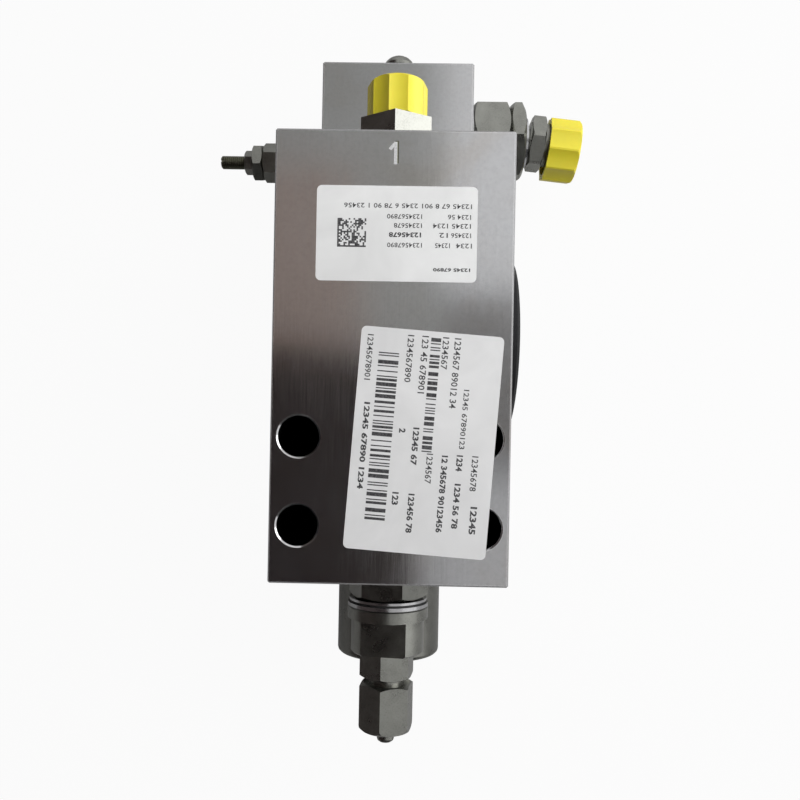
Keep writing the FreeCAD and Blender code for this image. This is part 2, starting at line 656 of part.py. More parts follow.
def main_sleeve():
    """Sleeve with the poppet's guide, the main seat, two rings of windows and a seal groove."""
    sleeve = main_height_piece("main_sleeve", "-sleeve_low")
    long = "sleeve_low + sleeve_shoulder"
    guide = "poppet_outer / 2 + run_gap"
    turn_solid(sleeve, [
        (guide, "0"), ("sleeve_outer / 2 - thread_gap", "0"), ("sleeve_outer / 2 - thread_gap", long),
        ("stem / 2 + 1", long), ("stem / 2 + 1", "sleeve_low + upper_chamber_top"),
        ("poppet_outer / 2", "sleeve_low + upper_chamber_top"),
        ("poppet_outer / 2", "sleeve_low + throat_top"), ("throat / 2", "sleeve_low + throat_top"),
        ("throat / 2", "sleeve_low + seat_up"),
        ("chamber_outer / 2", "sleeve_low + seat_up - (chamber_outer - throat) / 2"),
        ("chamber_outer / 2", "sleeve_low + guide_up"), (guide, "sleeve_low + guide_up"),
    ])
    ring_of_holes(sleeve, "sleeve_low", "window", "sleeve_outer", 6)
    ring_of_holes(sleeve, "sleeve_low + side_up", "window", "sleeve_outer", 6)
    turn_away(sleeve, seal_groove_corners("sleeve_outer / 2", "sleeve_low + ring_up"))
    return sleeve


def seal_groove_corners(outer, middle):
    """Corners of a seal groove cut into an outer radius at a height."""
    floor = "%s - ring_groove" % outer
    low = "%s - ring_groove_wide / 2" % middle
    high = "%s + ring_groove_wide / 2" % middle
    return [(floor, low), ("%s + 1" % outer, low), ("%s + 1" % outer, high), (floor, high)]


def sleeve_seal():
    """Seal ring between the two galleries."""
    seal = main_height_piece("sleeve_seal", "0")
    ring(seal, "sleeve_outer / 2 - ring_groove / 2", "ring_up", "ring_groove - 2 * run_gap")
    return seal


def main_poppet():
    """Main poppet: guide, slim neck, cone on the sleeve's seat and a nose that the pilot stem pushes."""
    poppet = main_height_piece("main_poppet", "-poppet_low")
    cone_base = "poppet_low + seat_up - (poppet_head - throat) / 2 / 0.577 - seat_gap"
    cone_top = "poppet_low + seat_up + (throat - poppet_nose) / 2 / 0.577 - seat_gap"
    turn_solid(poppet, [
        ("0", "poppet_pocket_deep"), ("poppet_pocket / 2", "poppet_pocket_deep"),
        ("poppet_pocket / 2", "0"), ("poppet_outer / 2", "0"), ("poppet_outer / 2", "poppet_guide"),
        ("poppet_neck / 2", "poppet_guide"),
        ("poppet_neck / 2", cone_base + " - (poppet_head - poppet_neck)"),
        ("poppet_head / 2", cone_base + " - (poppet_head - poppet_neck) / 2"),
        ("poppet_head / 2", cone_base), ("poppet_nose / 2", cone_top),
        ("poppet_nose / 2", "poppet_low + poppet_top"), ("0", "poppet_low + poppet_top"),
    ])
    return poppet


def pilot_piston():
    """Pilot piston: a head with a seal groove and a long stem down to the main poppet."""
    piston = main_height_piece("pilot_piston", "poppet_top + seat_gap")
    head = "piston_low - poppet_top - seat_gap"
    turn_solid(piston, [
        ("0", "0"), ("stem / 2", "0"), ("stem / 2", head), ("pilot_bore / 2 - run_gap", head),
        ("pilot_bore / 2 - run_gap", head + " + piston_long"), ("0", head + " + piston_long"),
    ])
    turn_away(piston, seal_groove_corners("pilot_bore / 2", head + " + piston_long / 2"))
    return piston


def pilot_piston_seal():
    """Seal ring in the pilot piston's groove."""
    seal = main_height_piece("pilot_piston_seal", "piston_low + piston_long / 2")
    ring(seal, "pilot_bore / 2 - ring_groove / 2", "0", "ring_groove - 2 * run_gap")
    return seal


def top_plug():
    """Plug flush with the rear body's upper end, with a threaded hole and two spanner holes."""
    plug = main_height_piece("top_plug", "rear_high - plug_deep")
    turn_solid(plug, [
        ("stop_screw / 2 + thread_gap", "0"), ("plug_thread / 2 - thread_gap", "0"),
        ("plug_thread / 2 - thread_gap", "plug_deep"), ("stop_screw / 2 + thread_gap", "plug_deep"),
    ])
    holes = new_sketch(plug, "XY_Plane", {"z": "plug_deep"})
    for across in ("-pin_circle / 2", "pin_circle / 2"):
        add_circle(holes, across, "0", "pin_hole")
    cut(plug, holes, "pin_deep")
    turn_away(plug, seal_groove_corners("plug_thread / 2", "plug_seal_up"))
    return plug


def top_plug_seal():
    """Seal ring round the inner end of the top plug."""
    seal = main_height_piece("top_plug_seal", "rear_high - plug_deep + plug_seal_up")
    ring(seal, "plug_thread / 2 - ring_groove / 2", "0", "ring_groove - 2 * run_gap")
    return seal


def stop_screw():
    """Screw through the top plug that stops the pilot piston's return."""
    start = "piston_low + piston_long + seat_gap"
    screw = main_height_piece("stop_screw", start)
    long = "rear_high + washer_thick + stop_stand - (%s)" % start
    turn_solid(screw, [
        ("0", "0"), ("stop_screw / 2 - block_edge", "0"), ("stop_screw / 2", "block_edge"),
        ("stop_screw / 2", long), ("0", long),
    ])
    return screw


def dome_washer():
    """Sealing washer under the dome nut."""
    washer = main_height_piece("dome_washer", "rear_high")
    flat_ring(washer, "stop_screw / 2 + thread_gap", "dome_flats / 2 + 0.6", "washer_thick")
    return washer


def flat_ring(piece, inner, outer, thick):
    """A flat washer about the piece's axis."""
    turn_solid(piece, [(inner, "0"), (outer, "0"), (outer, thick), (inner, thick)])


def dome_nut():
    """Dome nut over the stop screw: a hexagon with a domed closed end."""
    nut = main_height_piece("dome_nut", "rear_high + washer_thick")
    dome = domed("dome_outer / 2", "0", "dome_hex", "dome_high - dome_hex", 6)
    turn_solid(nut, [("0", "0")] + hex_blank("dome_flats", "0", "dome_hex") + dome)
    mill_hexagon(nut, "0", "dome_hex", "dome_flats")
    inner = "stop_screw / 2 + thread_gap"
    turn_away(nut, [("0", "-1"), (inner, "-1"), (inner, "stop_stand + 1"), ("0", "stop_stand + 1")])
    return nut


def front_piece(label, y, turn=UP_THE_BLOCK):
    """A piece on the front gallery's axis whose low end stands at y."""
    return new_piece(label, turn, y=y, z="front_height")


def upper_fitting():
    """Stud fitting in the upper end: thread, hexagon and outer thread, bored through."""
    fitting = front_piece("upper_fitting", "block_high - high_deep")
    hexagon = hex_blank("high_flats", "high_deep + bonded_thick", "high_deep + bonded_thick + high_hex",
                        broken=("low",))
    end = "high_deep + bonded_thick + high_hex + high_end_long"
    turn_solid(fitting, [
        ("fitting_bore / 2", "thread_gap"), ("high_thread / 2 - thread_gap", "thread_gap"),
        ("high_thread / 2 - thread_gap", "high_deep + bonded_thick"),
    ] + hexagon + [
        ("high_end / 2", "high_deep + bonded_thick + high_hex"), ("high_end / 2", end + " - block_edge"),
        ("high_end / 2 - block_edge", end), ("fitting_bore / 2", end),
    ])
    mill_hexagon(fitting, "high_deep + bonded_thick", "high_deep + bonded_thick + high_hex",
                 "high_flats", turn=87.8)
    return fitting


def upper_fitting_seal():
    """Bonded seal under the upper fitting."""
    seal = front_piece("upper_fitting_seal", "block_high")
    flat_ring(seal, "high_thread / 2 + thread_gap", "high_flats / 2 - 0.4", "bonded_thick")
    return seal


def protective_cap(piece, outer, inner, long, turn):
    """Push-on plastic cap: a row of shallow hollows round it, a broken outer edge, a hollow inside."""
    turn_solid(piece, [
        (inner, "0"), (outer + " / 2", "0"), (outer + " / 2", long + " - cap_shoulder"),
        (outer + " / 2 - cap_shoulder", long), ("0", long), ("0", long + " - cap_roof"),
        (inner, long + " - cap_roof"),
    ])
    hollow = "%s * %s" % (outer, HOLLOW_REACH)
    sketch = new_sketch(piece, "XY_Plane", turn=turn + 180 / CAP_FLATS)
    add_circle(sketch, "(%s + %s) / 2 - cap_hollow" % (outer, hollow), "0", hollow)
    repeat(piece, cut(piece, sketch, long, reverse=True), CAP_FLATS)


def upper_cap():
    """Protective cap on the upper fitting."""
    cap = front_piece("upper_cap", "block_high + bonded_thick + high_hex + high_cap_stand")
    protective_cap(cap, "high_cap", "high_end / 2 + cap_slack", "high_cap_long", 2.3)
    return cap


def check_poppet():
    """Check valve poppet: a hollow guide and a cone on the front gallery's seat."""
    poppet = front_piece("check_poppet", "check_seat + front_bore / 2 - check_long")
    edge = "check_long - check_bore / 2 - seat_gap"
    turn_solid(poppet, [
        ("0", "check_pocket_deep"), ("check_pocket / 2", "check_pocket_deep"),
        ("check_pocket / 2", "0"), ("check_bore / 2 - run_gap", "0"),
        ("check_bore / 2 - run_gap", edge), ("run_gap", "check_long - seat_gap"),
        ("0", "check_long - seat_gap"),
    ])
    return poppet


# The lower end of the rings below the first hexagon, and of the reducer's barrel below them.
LOWER_STACK = "-block_low - low_hex - backup_thick - rubber_thick - bonded_thick"
BARREL_END = LOWER_STACK + " - collar_high - barrel_high"


def lower_adapter():
    """Adapter in the lower end: a stud bored through, and the first hexagon against the block."""
    adapter = front_piece("lower_adapter", "low_deep - block_low", DOWN_THE_BLOCK)
    top = "low_deep"
    end = "low_deep + low_hex"
    neck = "low_deep + low_hex + backup_thick + rubber_thick + bonded_thick"
    turn_solid(adapter, [
        ("fitting_bore / 2", "thread_gap"), ("low_thread / 2 - thread_gap", "thread_gap"),
        ("low_thread / 2 - thread_gap", top),
    ] + hex_blank("low_flats", top, end) + [
        ("low_neck / 2", end), ("low_neck / 2", neck), ("fitting_bore / 2", neck),
    ])
    mill_hexagon(adapter, top, end, "low_flats", turn=69.5)
    return adapter


def backup_ring():
    """Bright back-up ring below the first hexagon."""
    washer = front_piece("backup_ring", "-block_low - low_hex", DOWN_THE_BLOCK)
    flat_ring(washer, "low_neck / 2 + thread_gap", "low_ring_outer / 2 - block_edge", "backup_thick")
    return washer


def adapter_ring():
    """Rubber ring squeezed between the back-up ring and the bonded seal."""
    ring_piece = front_piece("adapter_ring", "-block_low - low_hex - backup_thick", DOWN_THE_BLOCK)
    flat_ring(ring_piece, "low_neck / 2 + thread_gap", "low_ring_outer / 2 - 2 * block_edge", "rubber_thick")
    return ring_piece


def bonded_ring():
    """Bright bonded seal between the rubber ring and the reducer's collar."""
    washer = front_piece("bonded_ring", LOWER_STACK + " + bonded_thick", DOWN_THE_BLOCK)
    flat_ring(washer, "low_neck / 2 + thread_gap", "low_ring_outer / 2", "bonded_thick")
    return washer


def tube_reducer():
    """Reducer: collar, barrel with two flats, small hexagon and the tube fitting's thread."""
    reducer = front_piece("tube_reducer", LOWER_STACK, DOWN_THE_BLOCK)
    barrel = "collar_high + barrel_high"
    small = "collar_high + barrel_high + tube_hex"
    end = "collar_high + barrel_high + tube_hex + tube_thread_long"
    turn_solid(reducer, [
        ("fitting_bore / 2", "0"), ("collar_outer / 2 - block_edge", "0"),
        ("collar_outer / 2", "block_edge"), ("collar_outer / 2", "collar_high"),
        ("barrel_outer / 2", "collar_high"), ("barrel_outer / 2", barrel + " - block_edge"),
        ("barrel_outer / 2 - block_edge", barrel),
    ] + hex_blank("tube_flats", barrel, small, broken=("high",)) + [
        ("tube_thread / 2", small), ("tube_thread / 2", end + " - block_edge"),
        ("tube_thread / 2 - block_edge", end), ("plug_cone / 2", end),
        ("fitting_bore / 2", end + " - plug_cone / 2"),
    ])
    mill_hexagon(reducer, barrel, small, "tube_flats", "barrel_outer", turn=41.5)
    flats = new_sketch(reducer, "XY_Plane", {"z": "collar_high"}, turn=7.8)
    for low, high in (("-collar_outer", "-barrel_flats / 2"), ("barrel_flats / 2", "collar_outer")):
        add_outline(flats, [("-collar_outer", low), ("collar_outer", low), ("collar_outer", high),
                            ("-collar_outer", high)])
    cut(reducer, flats, "barrel_high", reverse=True)
    return reducer


def tube_nut():
    """Union nut: a hexagon with a rounded end that holds the blanking plug."""
    nut = front_piece("tube_nut", BARREL_END + " - tube_hex - nut_space", DOWN_THE_BLOCK)
    thread = "tube_thread / 2 + run_gap"
    turn_solid(nut, [
        (thread, "0"),
    ] + hex_blank("tube_flats", "0", "nut_long - nut_round", broken=("low",)) + domed(
        "tube_flats * %s" % CORNER_REACH, "nut_end / 2", "nut_long - nut_round", "nut_round", 4)[1:] + [
        ("nut_mouth / 2", "nut_long"),
        ("nut_mouth / 2", "nut_thread_space + tube_thread / 2 - nut_mouth / 2"), (thread, "nut_thread_space"),
    ])
    mill_hexagon(nut, "0", "nut_long", "tube_flats", turn=41.5)
    return nut


def blanking_plug():
    """Blanking plug: a cone in the fitting's mouth, a shoulder in the nut and a domed stem."""
    thread_end = BARREL_END + " - tube_hex - tube_thread_long"
    plug = front_piece("blanking_plug", thread_end + " + plug_cone / 2 - seat_gap * 2", DOWN_THE_BLOCK)
    cone = "plug_cone / 2"
    shoulder = "nut_space + nut_thread_space - tube_thread_long + plug_cone / 2 - seat_gap * 4"
    end = "nut_space + nut_long - tube_thread_long + plug_cone / 2 + plug_stand"
    turn_solid(plug, [
        ("0", "fitting_bore / 2"), ("fitting_bore / 2", "fitting_bore / 2"), (cone, cone),
        (cone, shoulder), ("plug_stem / 2", "%s + plug_cone / 2 - plug_stem / 2" % shoulder),
    ] + domed("plug_stem / 2", "0", end + " - plug_dome", "plug_dome", 4))
    return plug


def right_piece(label, x):
    """A piece on the pilot port's axis that points to the right from x."""
    return new_piece(label, TO_THE_RIGHT, x=x, y=PILOT_UP, z="main_height")


def pilot_adapter():
    """Adapter in the pilot port: stud, large hexagon and outer thread, bored for the reducer."""
    adapter = right_piece("pilot_adapter", "rear_width / 2 - pilot_deep")
    start = "pilot_deep + bonded_thick"
    hexagon = "pilot_deep + bonded_thick + adapter_hex"
    end = hexagon + " + jam_thick + seat_gap"
    turn_solid(adapter, [
        ("fitting_bore / 2", "thread_gap"), ("pilot_thread / 2 - thread_gap", "thread_gap"),
        ("pilot_thread / 2 - thread_gap", start),
    ] + hex_blank("adapter_flats", start, hexagon) + [
        ("adapter_neck / 2", hexagon), ("adapter_neck / 2", end), ("adapter_socket / 2", end),
        ("adapter_socket / 2", end + " - adapter_socket_deep"),
        ("fitting_bore / 2", end + " - adapter_socket_deep"),
    ])
    mill_hexagon(adapter, start, hexagon, "adapter_flats", turn=8.8)
    return adapter


def pilot_adapter_seal():
    """Bonded seal under the pilot adapter."""
    seal = right_piece("pilot_adapter_seal", "rear_width / 2")
    flat_ring(seal, "pilot_thread / 2 + thread_gap", "adapter_flats / 2 - 0.8", "bonded_thick")
    return seal


def pilot_lock_nut():
    """Lock nut on the pilot adapter's outer thread."""
    nut = right_piece("pilot_lock_nut", "rear_width / 2 + bonded_thick + adapter_hex")
    bore = "adapter_neck / 2 + thread_gap"
    turn_solid(nut, [(bore, "0")] + hex_blank("adapter_flats", "0", "jam_thick") + [(bore, "jam_thick")])
    mill_hexagon(nut, "0", "jam_thick", "adapter_flats", turn=8.8)
    return nut


PILOT_FACE = "rear_width / 2 + bonded_thick + adapter_hex + jam_thick + seat_gap"


def pilot_washer():
    """Bright sealing washer between the pilot adapter and its reducer."""
    washer = right_piece("pilot_washer", PILOT_FACE)
    flat_ring(washer, "adapter_socket / 2 + thread_gap", "pilot_ring / 2", "bonded_thick")
    return washer


def drooping_piece(label, along, below):
    """A piece in line with the loose pilot reducer, from its neck's face along and below its axis."""
    droop = FreeCAD.Rotation(Vector(0, 0, 1), -value("reducer_droop"))
    lean = "reducer_neck / 2 * sin(reducer_droop)"
    x = "%s + bonded_thick + seat_gap + %s" % (PILOT_FACE, lean)
    x += " + (%s) * cos(reducer_droop) - (%s) * sin(reducer_droop)" % (along, below)
    y = PILOT_UP + " - (%s) * sin(reducer_droop) - (%s) * cos(reducer_droop)" % (along, below)
    return new_piece(label, droop * TO_THE_RIGHT, x=x, y=y, z="main_height")


def pilot_reducer():
    """Reducer in the pilot adapter: inner stud, neck, small hexagon and the capped outer thread."""
    reducer = drooping_piece("pilot_reducer", "-reducer_tail", "0")
    low = "reducer_tail + reducer_neck_long"
    high = low + " + reducer_hex"
    end = high + " + reducer_end_long"
    face = "reducer_turned / 2 - 2 * reducer_edge"
    turn_solid(reducer, [
        ("fitting_bore / 2", "0"), ("reducer_stud / 2", "0"), ("reducer_stud / 2", "reducer_tail"),
        ("reducer_neck / 2", "reducer_tail"), ("reducer_neck / 2", low),
        (face, low), ("reducer_turned / 2", low + " + reducer_edge"),
        ("reducer_turned / 2", high + " - reducer_edge"), (face, high),
        ("reducer_end / 2", high), ("reducer_end / 2", end + " - block_edge"),
        ("reducer_end / 2 - block_edge", end), ("fitting_bore / 2", end),
    ])
    mill_hexagon(reducer, low, high, "reducer_flats", turn=180.0)
    return reducer


def pilot_cap():
    """Protective cap that hangs on the pilot reducer's thread."""
    cap = drooping_piece("pilot_cap", "reducer_neck_long + reducer_hex + side_cap_stand",
                         "side_slack - seat_gap")
    protective_cap(cap, "side_cap", "reducer_end / 2 + side_slack", "side_cap_long", 16.5)
    return cap


def left_piece(label, x):
    """A piece on the relief valve's axis that points to the left from x."""
    return new_piece(label, TO_THE_LEFT, x=x, y=RELIEF_UP, z="main_height")


def relief_cartridge():
    """Relief cartridge: thread, hexagon and a long hexagon tail, bored for its spring."""
    cartridge = left_piece("relief_cartridge", "relief_deep - rear_width / 2")
    start = "relief_deep + bonded_thick"
    hexagon = "relief_deep + bonded_thick + relief_hex"
    tail = hexagon + " + relief_tail"
    floor = "relief_seat_thick"
    back = "relief_deep + relief_plate_back + seat_gap"
    turn_solid(cartridge, [
        ("relief_thread / 2 - 2", "thread_gap"), ("relief_thread / 2 - thread_gap", "thread_gap"),
        ("relief_thread / 2 - thread_gap", start),
    ] + hex_blank("relief_flats", start, hexagon) + hex_blank(
        "relief_tail_flats", hexagon, tail, broken=("high",)) + [
        ("adjuster / 2 + run_gap", tail), ("adjuster / 2 + run_gap", back), ("relief_bore / 2", back),
        ("relief_bore / 2", floor), ("relief_thread / 2 - 2", floor),
    ])
    mill_hexagon(cartridge, start, hexagon, "relief_flats")
    mill_hexagon(cartridge, hexagon, tail, "relief_tail_flats", turn=14.0)
    return cartridge


def relief_cartridge_seal():
    """Bonded seal under the relief cartridge."""
    seal = left_piece("relief_cartridge_seal", "-rear_width / 2")
    flat_ring(seal, "relief_thread / 2 + thread_gap", "relief_flats / 2 - 0.4", "bonded_thick")
    return seal


def relief_seat():
    """Hardened seat ring in the relief cartridge's nose."""
    seat = left_piece("relief_seat", "relief_deep - rear_width / 2")
    flat_ring(seat, "relief_seat_bore / 2", "relief_thread / 2 - 2 - thread_gap", "relief_seat_thick")
    return seat


def relief_poppet():
    """Relief poppet: a cone on the seat ring, a head for the spring and a short tail."""
    poppet = left_piece("relief_poppet", "relief_deep - rear_width / 2")
    seat = "relief_seat_thick + seat_gap"
    head = "relief_seat_thick + seat_gap + (relief_poppet_head - relief_seat_bore) / 2 / 0.577"
    turn_solid(poppet, [
        ("0", "%s - relief_seat_bore / 2" % seat),
        ("relief_seat_bore / 4", "%s - relief_seat_bore / 2" % seat),
        ("relief_seat_bore / 2", seat), ("relief_poppet_head / 2", head),
        ("relief_poppet_head / 2", head + " + 2"), ("relief_coil / 2 - relief_wire", head + " + 2"),
        ("relief_coil / 2 - relief_wire", "relief_poppet_long + 2"), ("0", "relief_poppet_long + 2"),
    ])
    return poppet


def relief_spring_plate():
    """Plate that the adjusting screw pushes against the relief spring."""
    plate = left_piece("relief_spring_plate", "relief_plate - relief_plate_back - rear_width / 2")
    turn_solid(plate, [
        ("0", "-disc_thick"), ("relief_coil / 2 - relief_wire", "-disc_thick"),
        ("relief_coil / 2 - relief_wire", "0"), ("relief_bore / 2 - 2 * run_gap", "0"),
        ("relief_bore / 2 - 2 * run_gap", "relief_plate"), ("0", "relief_plate"),
    ])
    return plate


RELIEF_TAIL_END = "-rear_width / 2 - bonded_thick - relief_hex - relief_tail"


def adjusting_screw():
    """Adjusting screw of the relief valve, with a slotted end."""
    start = "relief_plate_back + seat_gap - 2 * thread_gap"
    screw = left_piece("adjusting_screw", "-rear_width / 2 - (%s)" % start)
    long = "bonded_thick + relief_hex + relief_tail + sleeve_nut + lock_thick + adjuster_stand - (%s)" % start
    turn_solid(screw, [
        ("0", "0"), ("adjuster / 2", "0"), ("adjuster / 2", long + " - block_edge"),
        ("adjuster / 2 - block_edge", long), ("0", long),
    ])
    slot = new_sketch(screw, "XY_Plane", {"z": long})
    half = "adjuster * 0.1"
    add_outline(slot, [("-adjuster", "-" + half), ("adjuster", "-" + half), ("adjuster", half),
                       ("-adjuster", half)])
    cut(screw, slot, "adjuster * 0.3")
    return screw


def relief_sleeve_nut():
    """Thin nut that seals the relief cartridge's tail."""
    nut = left_piece("relief_sleeve_nut", RELIEF_TAIL_END)
    bore = "adjuster / 2 + run_gap"
    blank = hex_blank("relief_tail_flats", "0", "sleeve_nut")
    turn_solid(nut, [(bore, "0")] + blank + [(bore, "sleeve_nut")])
    mill_hexagon(nut, "0", "sleeve_nut", "relief_tail_flats", turn=40.0)
    return nut


def adjuster_lock_nut():
    """Lock nut on the adjusting screw."""
    nut = left_piece("adjuster_lock_nut", RELIEF_TAIL_END + " - sleeve_nut")
    bore = "adjuster / 2 + run_gap"
    turn_solid(nut, [(bore, "0")] + hex_blank("lock_flats", "0", "lock_thick") + [(bore, "lock_thick")])
    mill_hexagon(nut, "0", "lock_thick", "lock_flats", turn=12.0)
    return nut


def side_cover():
    """Black cover on the side port: a round disc with a hollow spigot in the bore."""
    cover = new_piece("side_cover", TO_THE_RIGHT, x="block_width / 2 - spigot_long", y="side_up",
                      z="side_height")
    spigot = "side_bore / 2 - cap_slack"
    face = "spigot_long + cover_thick"
    turn_solid(cover, [
        ("0", "spigot_long"), (spigot + " - spigot_wall", "spigot_long"), (spigot + " - spigot_wall", "0"),
        (spigot, "0"), (spigot, "spigot_long"), ("cover_outer / 2", "spigot_long"),
        ("cover_outer / 2", face + " - cover_round"), ("cover_outer / 2 - cover_round", face), ("0", face),
    ])
    return cover


def coil_spring(label, turn, place, wire, mean, turns, long):
    """A closed-end coil spring of a round wire, as sections of the wire set along its helix."""
    thick = value(wire)
    radius = value(mean) / 2
    count = value(turns)
    free = value(long) - thick
    steps = int(round(count * 12))
    sections = []
    for step in range(steps + 1):
        angle = 2 * math.pi * count * step / steps
        centre = Vector(radius * math.cos(angle), radius * math.sin(angle), 0)
        centre.z = thick / 2 + coil_height(count * step / steps, count, thick, free)
        outward = Vector(math.cos(angle), math.sin(angle), 0)
        corners = []
        for side in range(6):
            around = math.pi / 3 * side
            corners.append(centre + outward * (thick / 2 * math.cos(around))
                           + Vector(0, 0, thick / 2 * math.sin(around)))
        sections.append(Part.makePolygon(corners + corners[:1]))
    spring = doc.addObject("Part::Feature", label)
    spring.Label = label
    spring.Shape = Part.makeLoft(sections, True, True)
    spring.Placement = FreeCAD.Placement(Vector(*[value(text) for text in place]), turn)
    return spring


def coil_height(passed, count, thick, free):
    """Height of the wire's middle after some turns: one flat turn at each end, even pitch between."""
    flat = thick * 1.02
    if passed < 1:
        return flat * passed
    if passed > count - 1:
        return free - flat * (count - passed)
    return flat + (free - 2 * flat) * (passed - 1) / (count - 2)


def springs():
    """The four springs, each between the faces that hold it."""
    main_low = "cap_floor - block_low - cap_long + disc_thick + seat_gap"
    coil_spring("main_spring", UP_THE_BLOCK, ("0", main_low, "main_height"), "main_wire", "main_coil",
                "main_turns", "poppet_pocket_deep - poppet_low - seat_gap - (%s)" % main_low)
    coil_spring("pilot_spring", UP_THE_BLOCK, ("0", "pilot_floor + seat_gap", "main_height"), "pilot_wire",
                "pilot_coil", "pilot_turns", "piston_low - pilot_floor - 2 * seat_gap")
    check_low = "low_deep - block_low + seat_gap"
    check_high = "check_seat + front_bore / 2 - check_long + check_pocket_deep - seat_gap"
    coil_spring("check_spring", UP_THE_BLOCK, ("0", check_low, "front_height"), "check_wire", "check_coil",
                "check_turns", "%s - (%s)" % (check_high, check_low))
    head = "relief_seat_thick + (relief_poppet_head - relief_seat_bore) / 2 / 0.577 + 2 + 2 * seat_gap"
    start = "relief_deep - rear_width / 2 - (%s)" % head
    coil_spring("relief_spring", TO_THE_LEFT, (start, RELIEF_UP, "main_height"), "relief_wire",
                "relief_coil", "relief_turns",
                "%s + rear_width / 2 + relief_plate_back - relief_plate - seat_gap" % start)


def export_parts():
    """Checks every object and writes each sub-part to its own file."""
    doc.recompute()
    for item in doc.Objects:
        if "Invalid" in item.State or "Error" in item.State:
            raise RuntimeError("%s is in state %s" % (item.Label, item.State))
    os.makedirs("parts", exist_ok=True)
    for item in doc.Objects:
        if item.TypeId in ("PartDesign::Body", "Part::Feature"):
            shape = item.Shape
            if shape.isNull() or not shape.isValid() or len(shape.Solids) != 1:
                raise RuntimeError(item.Label + " has no valid single solid")
            shape.exportStep(os.path.join("parts", item.Label + ".step"))
            print("%-24s %10.1f mm3" % (item.Label, shape.Volume))


valve_block()
port_seal()
spring_cap()
spring_cap_seal()
main_spring_seat()
main_sleeve()
sleeve_seal()
main_poppet()
pilot_piston()
pilot_piston_seal()
top_plug()
top_plug_seal()
stop_screw()
dome_washer()
dome_nut()
upper_fitting()
upper_fitting_seal()
upper_cap()
check_poppet()
lower_adapter()
backup_ring()
adapter_ring()
bonded_ring()
tube_reducer()
tube_nut()
blanking_plug()
pilot_adapter()
pilot_adapter_seal()
pilot_lock_nut()
pilot_washer()
pilot_reducer()
pilot_cap()
relief_cartridge()
relief_cartridge_seal()
relief_seat()
relief_poppet()
relief_spring_plate()
adjusting_screw()
relief_sleeve_nut()
adjuster_lock_nut()
side_cover()
springs()
export_parts()
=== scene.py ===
"""Looks of the hydraulic valve block: materials, labels, threads, springs, stage, light and camera.

The part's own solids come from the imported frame. Everything added here is placed from their boxes,
in metres, with Z out of the label face and Y up along the block.
"""

import json
import math
import random

import bmesh
import bpy
from mathutils import Matrix, Vector


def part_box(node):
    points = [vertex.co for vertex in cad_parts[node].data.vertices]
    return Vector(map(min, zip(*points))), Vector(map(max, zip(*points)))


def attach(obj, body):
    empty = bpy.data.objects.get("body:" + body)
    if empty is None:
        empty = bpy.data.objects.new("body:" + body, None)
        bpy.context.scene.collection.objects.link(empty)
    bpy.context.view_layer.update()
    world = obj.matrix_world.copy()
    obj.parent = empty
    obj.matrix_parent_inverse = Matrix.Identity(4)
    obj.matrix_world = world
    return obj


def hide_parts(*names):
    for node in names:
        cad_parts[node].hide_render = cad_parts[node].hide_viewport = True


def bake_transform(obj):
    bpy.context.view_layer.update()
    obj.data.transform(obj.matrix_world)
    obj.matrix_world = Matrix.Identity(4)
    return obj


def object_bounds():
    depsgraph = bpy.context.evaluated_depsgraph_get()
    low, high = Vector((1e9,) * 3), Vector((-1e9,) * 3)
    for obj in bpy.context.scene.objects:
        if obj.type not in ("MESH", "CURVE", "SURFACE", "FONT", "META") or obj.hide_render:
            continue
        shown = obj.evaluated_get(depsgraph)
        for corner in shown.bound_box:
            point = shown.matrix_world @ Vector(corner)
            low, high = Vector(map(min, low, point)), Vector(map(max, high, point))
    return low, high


MM = 0.001

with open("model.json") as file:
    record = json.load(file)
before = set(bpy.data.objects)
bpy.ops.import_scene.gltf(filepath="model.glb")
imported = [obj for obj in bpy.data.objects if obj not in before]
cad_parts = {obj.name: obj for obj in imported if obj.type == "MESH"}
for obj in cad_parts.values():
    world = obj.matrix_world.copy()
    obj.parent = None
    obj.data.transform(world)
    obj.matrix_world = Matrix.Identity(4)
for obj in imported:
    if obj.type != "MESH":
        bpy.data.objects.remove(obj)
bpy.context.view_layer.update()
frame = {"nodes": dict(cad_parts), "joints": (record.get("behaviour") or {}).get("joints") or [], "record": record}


# Node materials

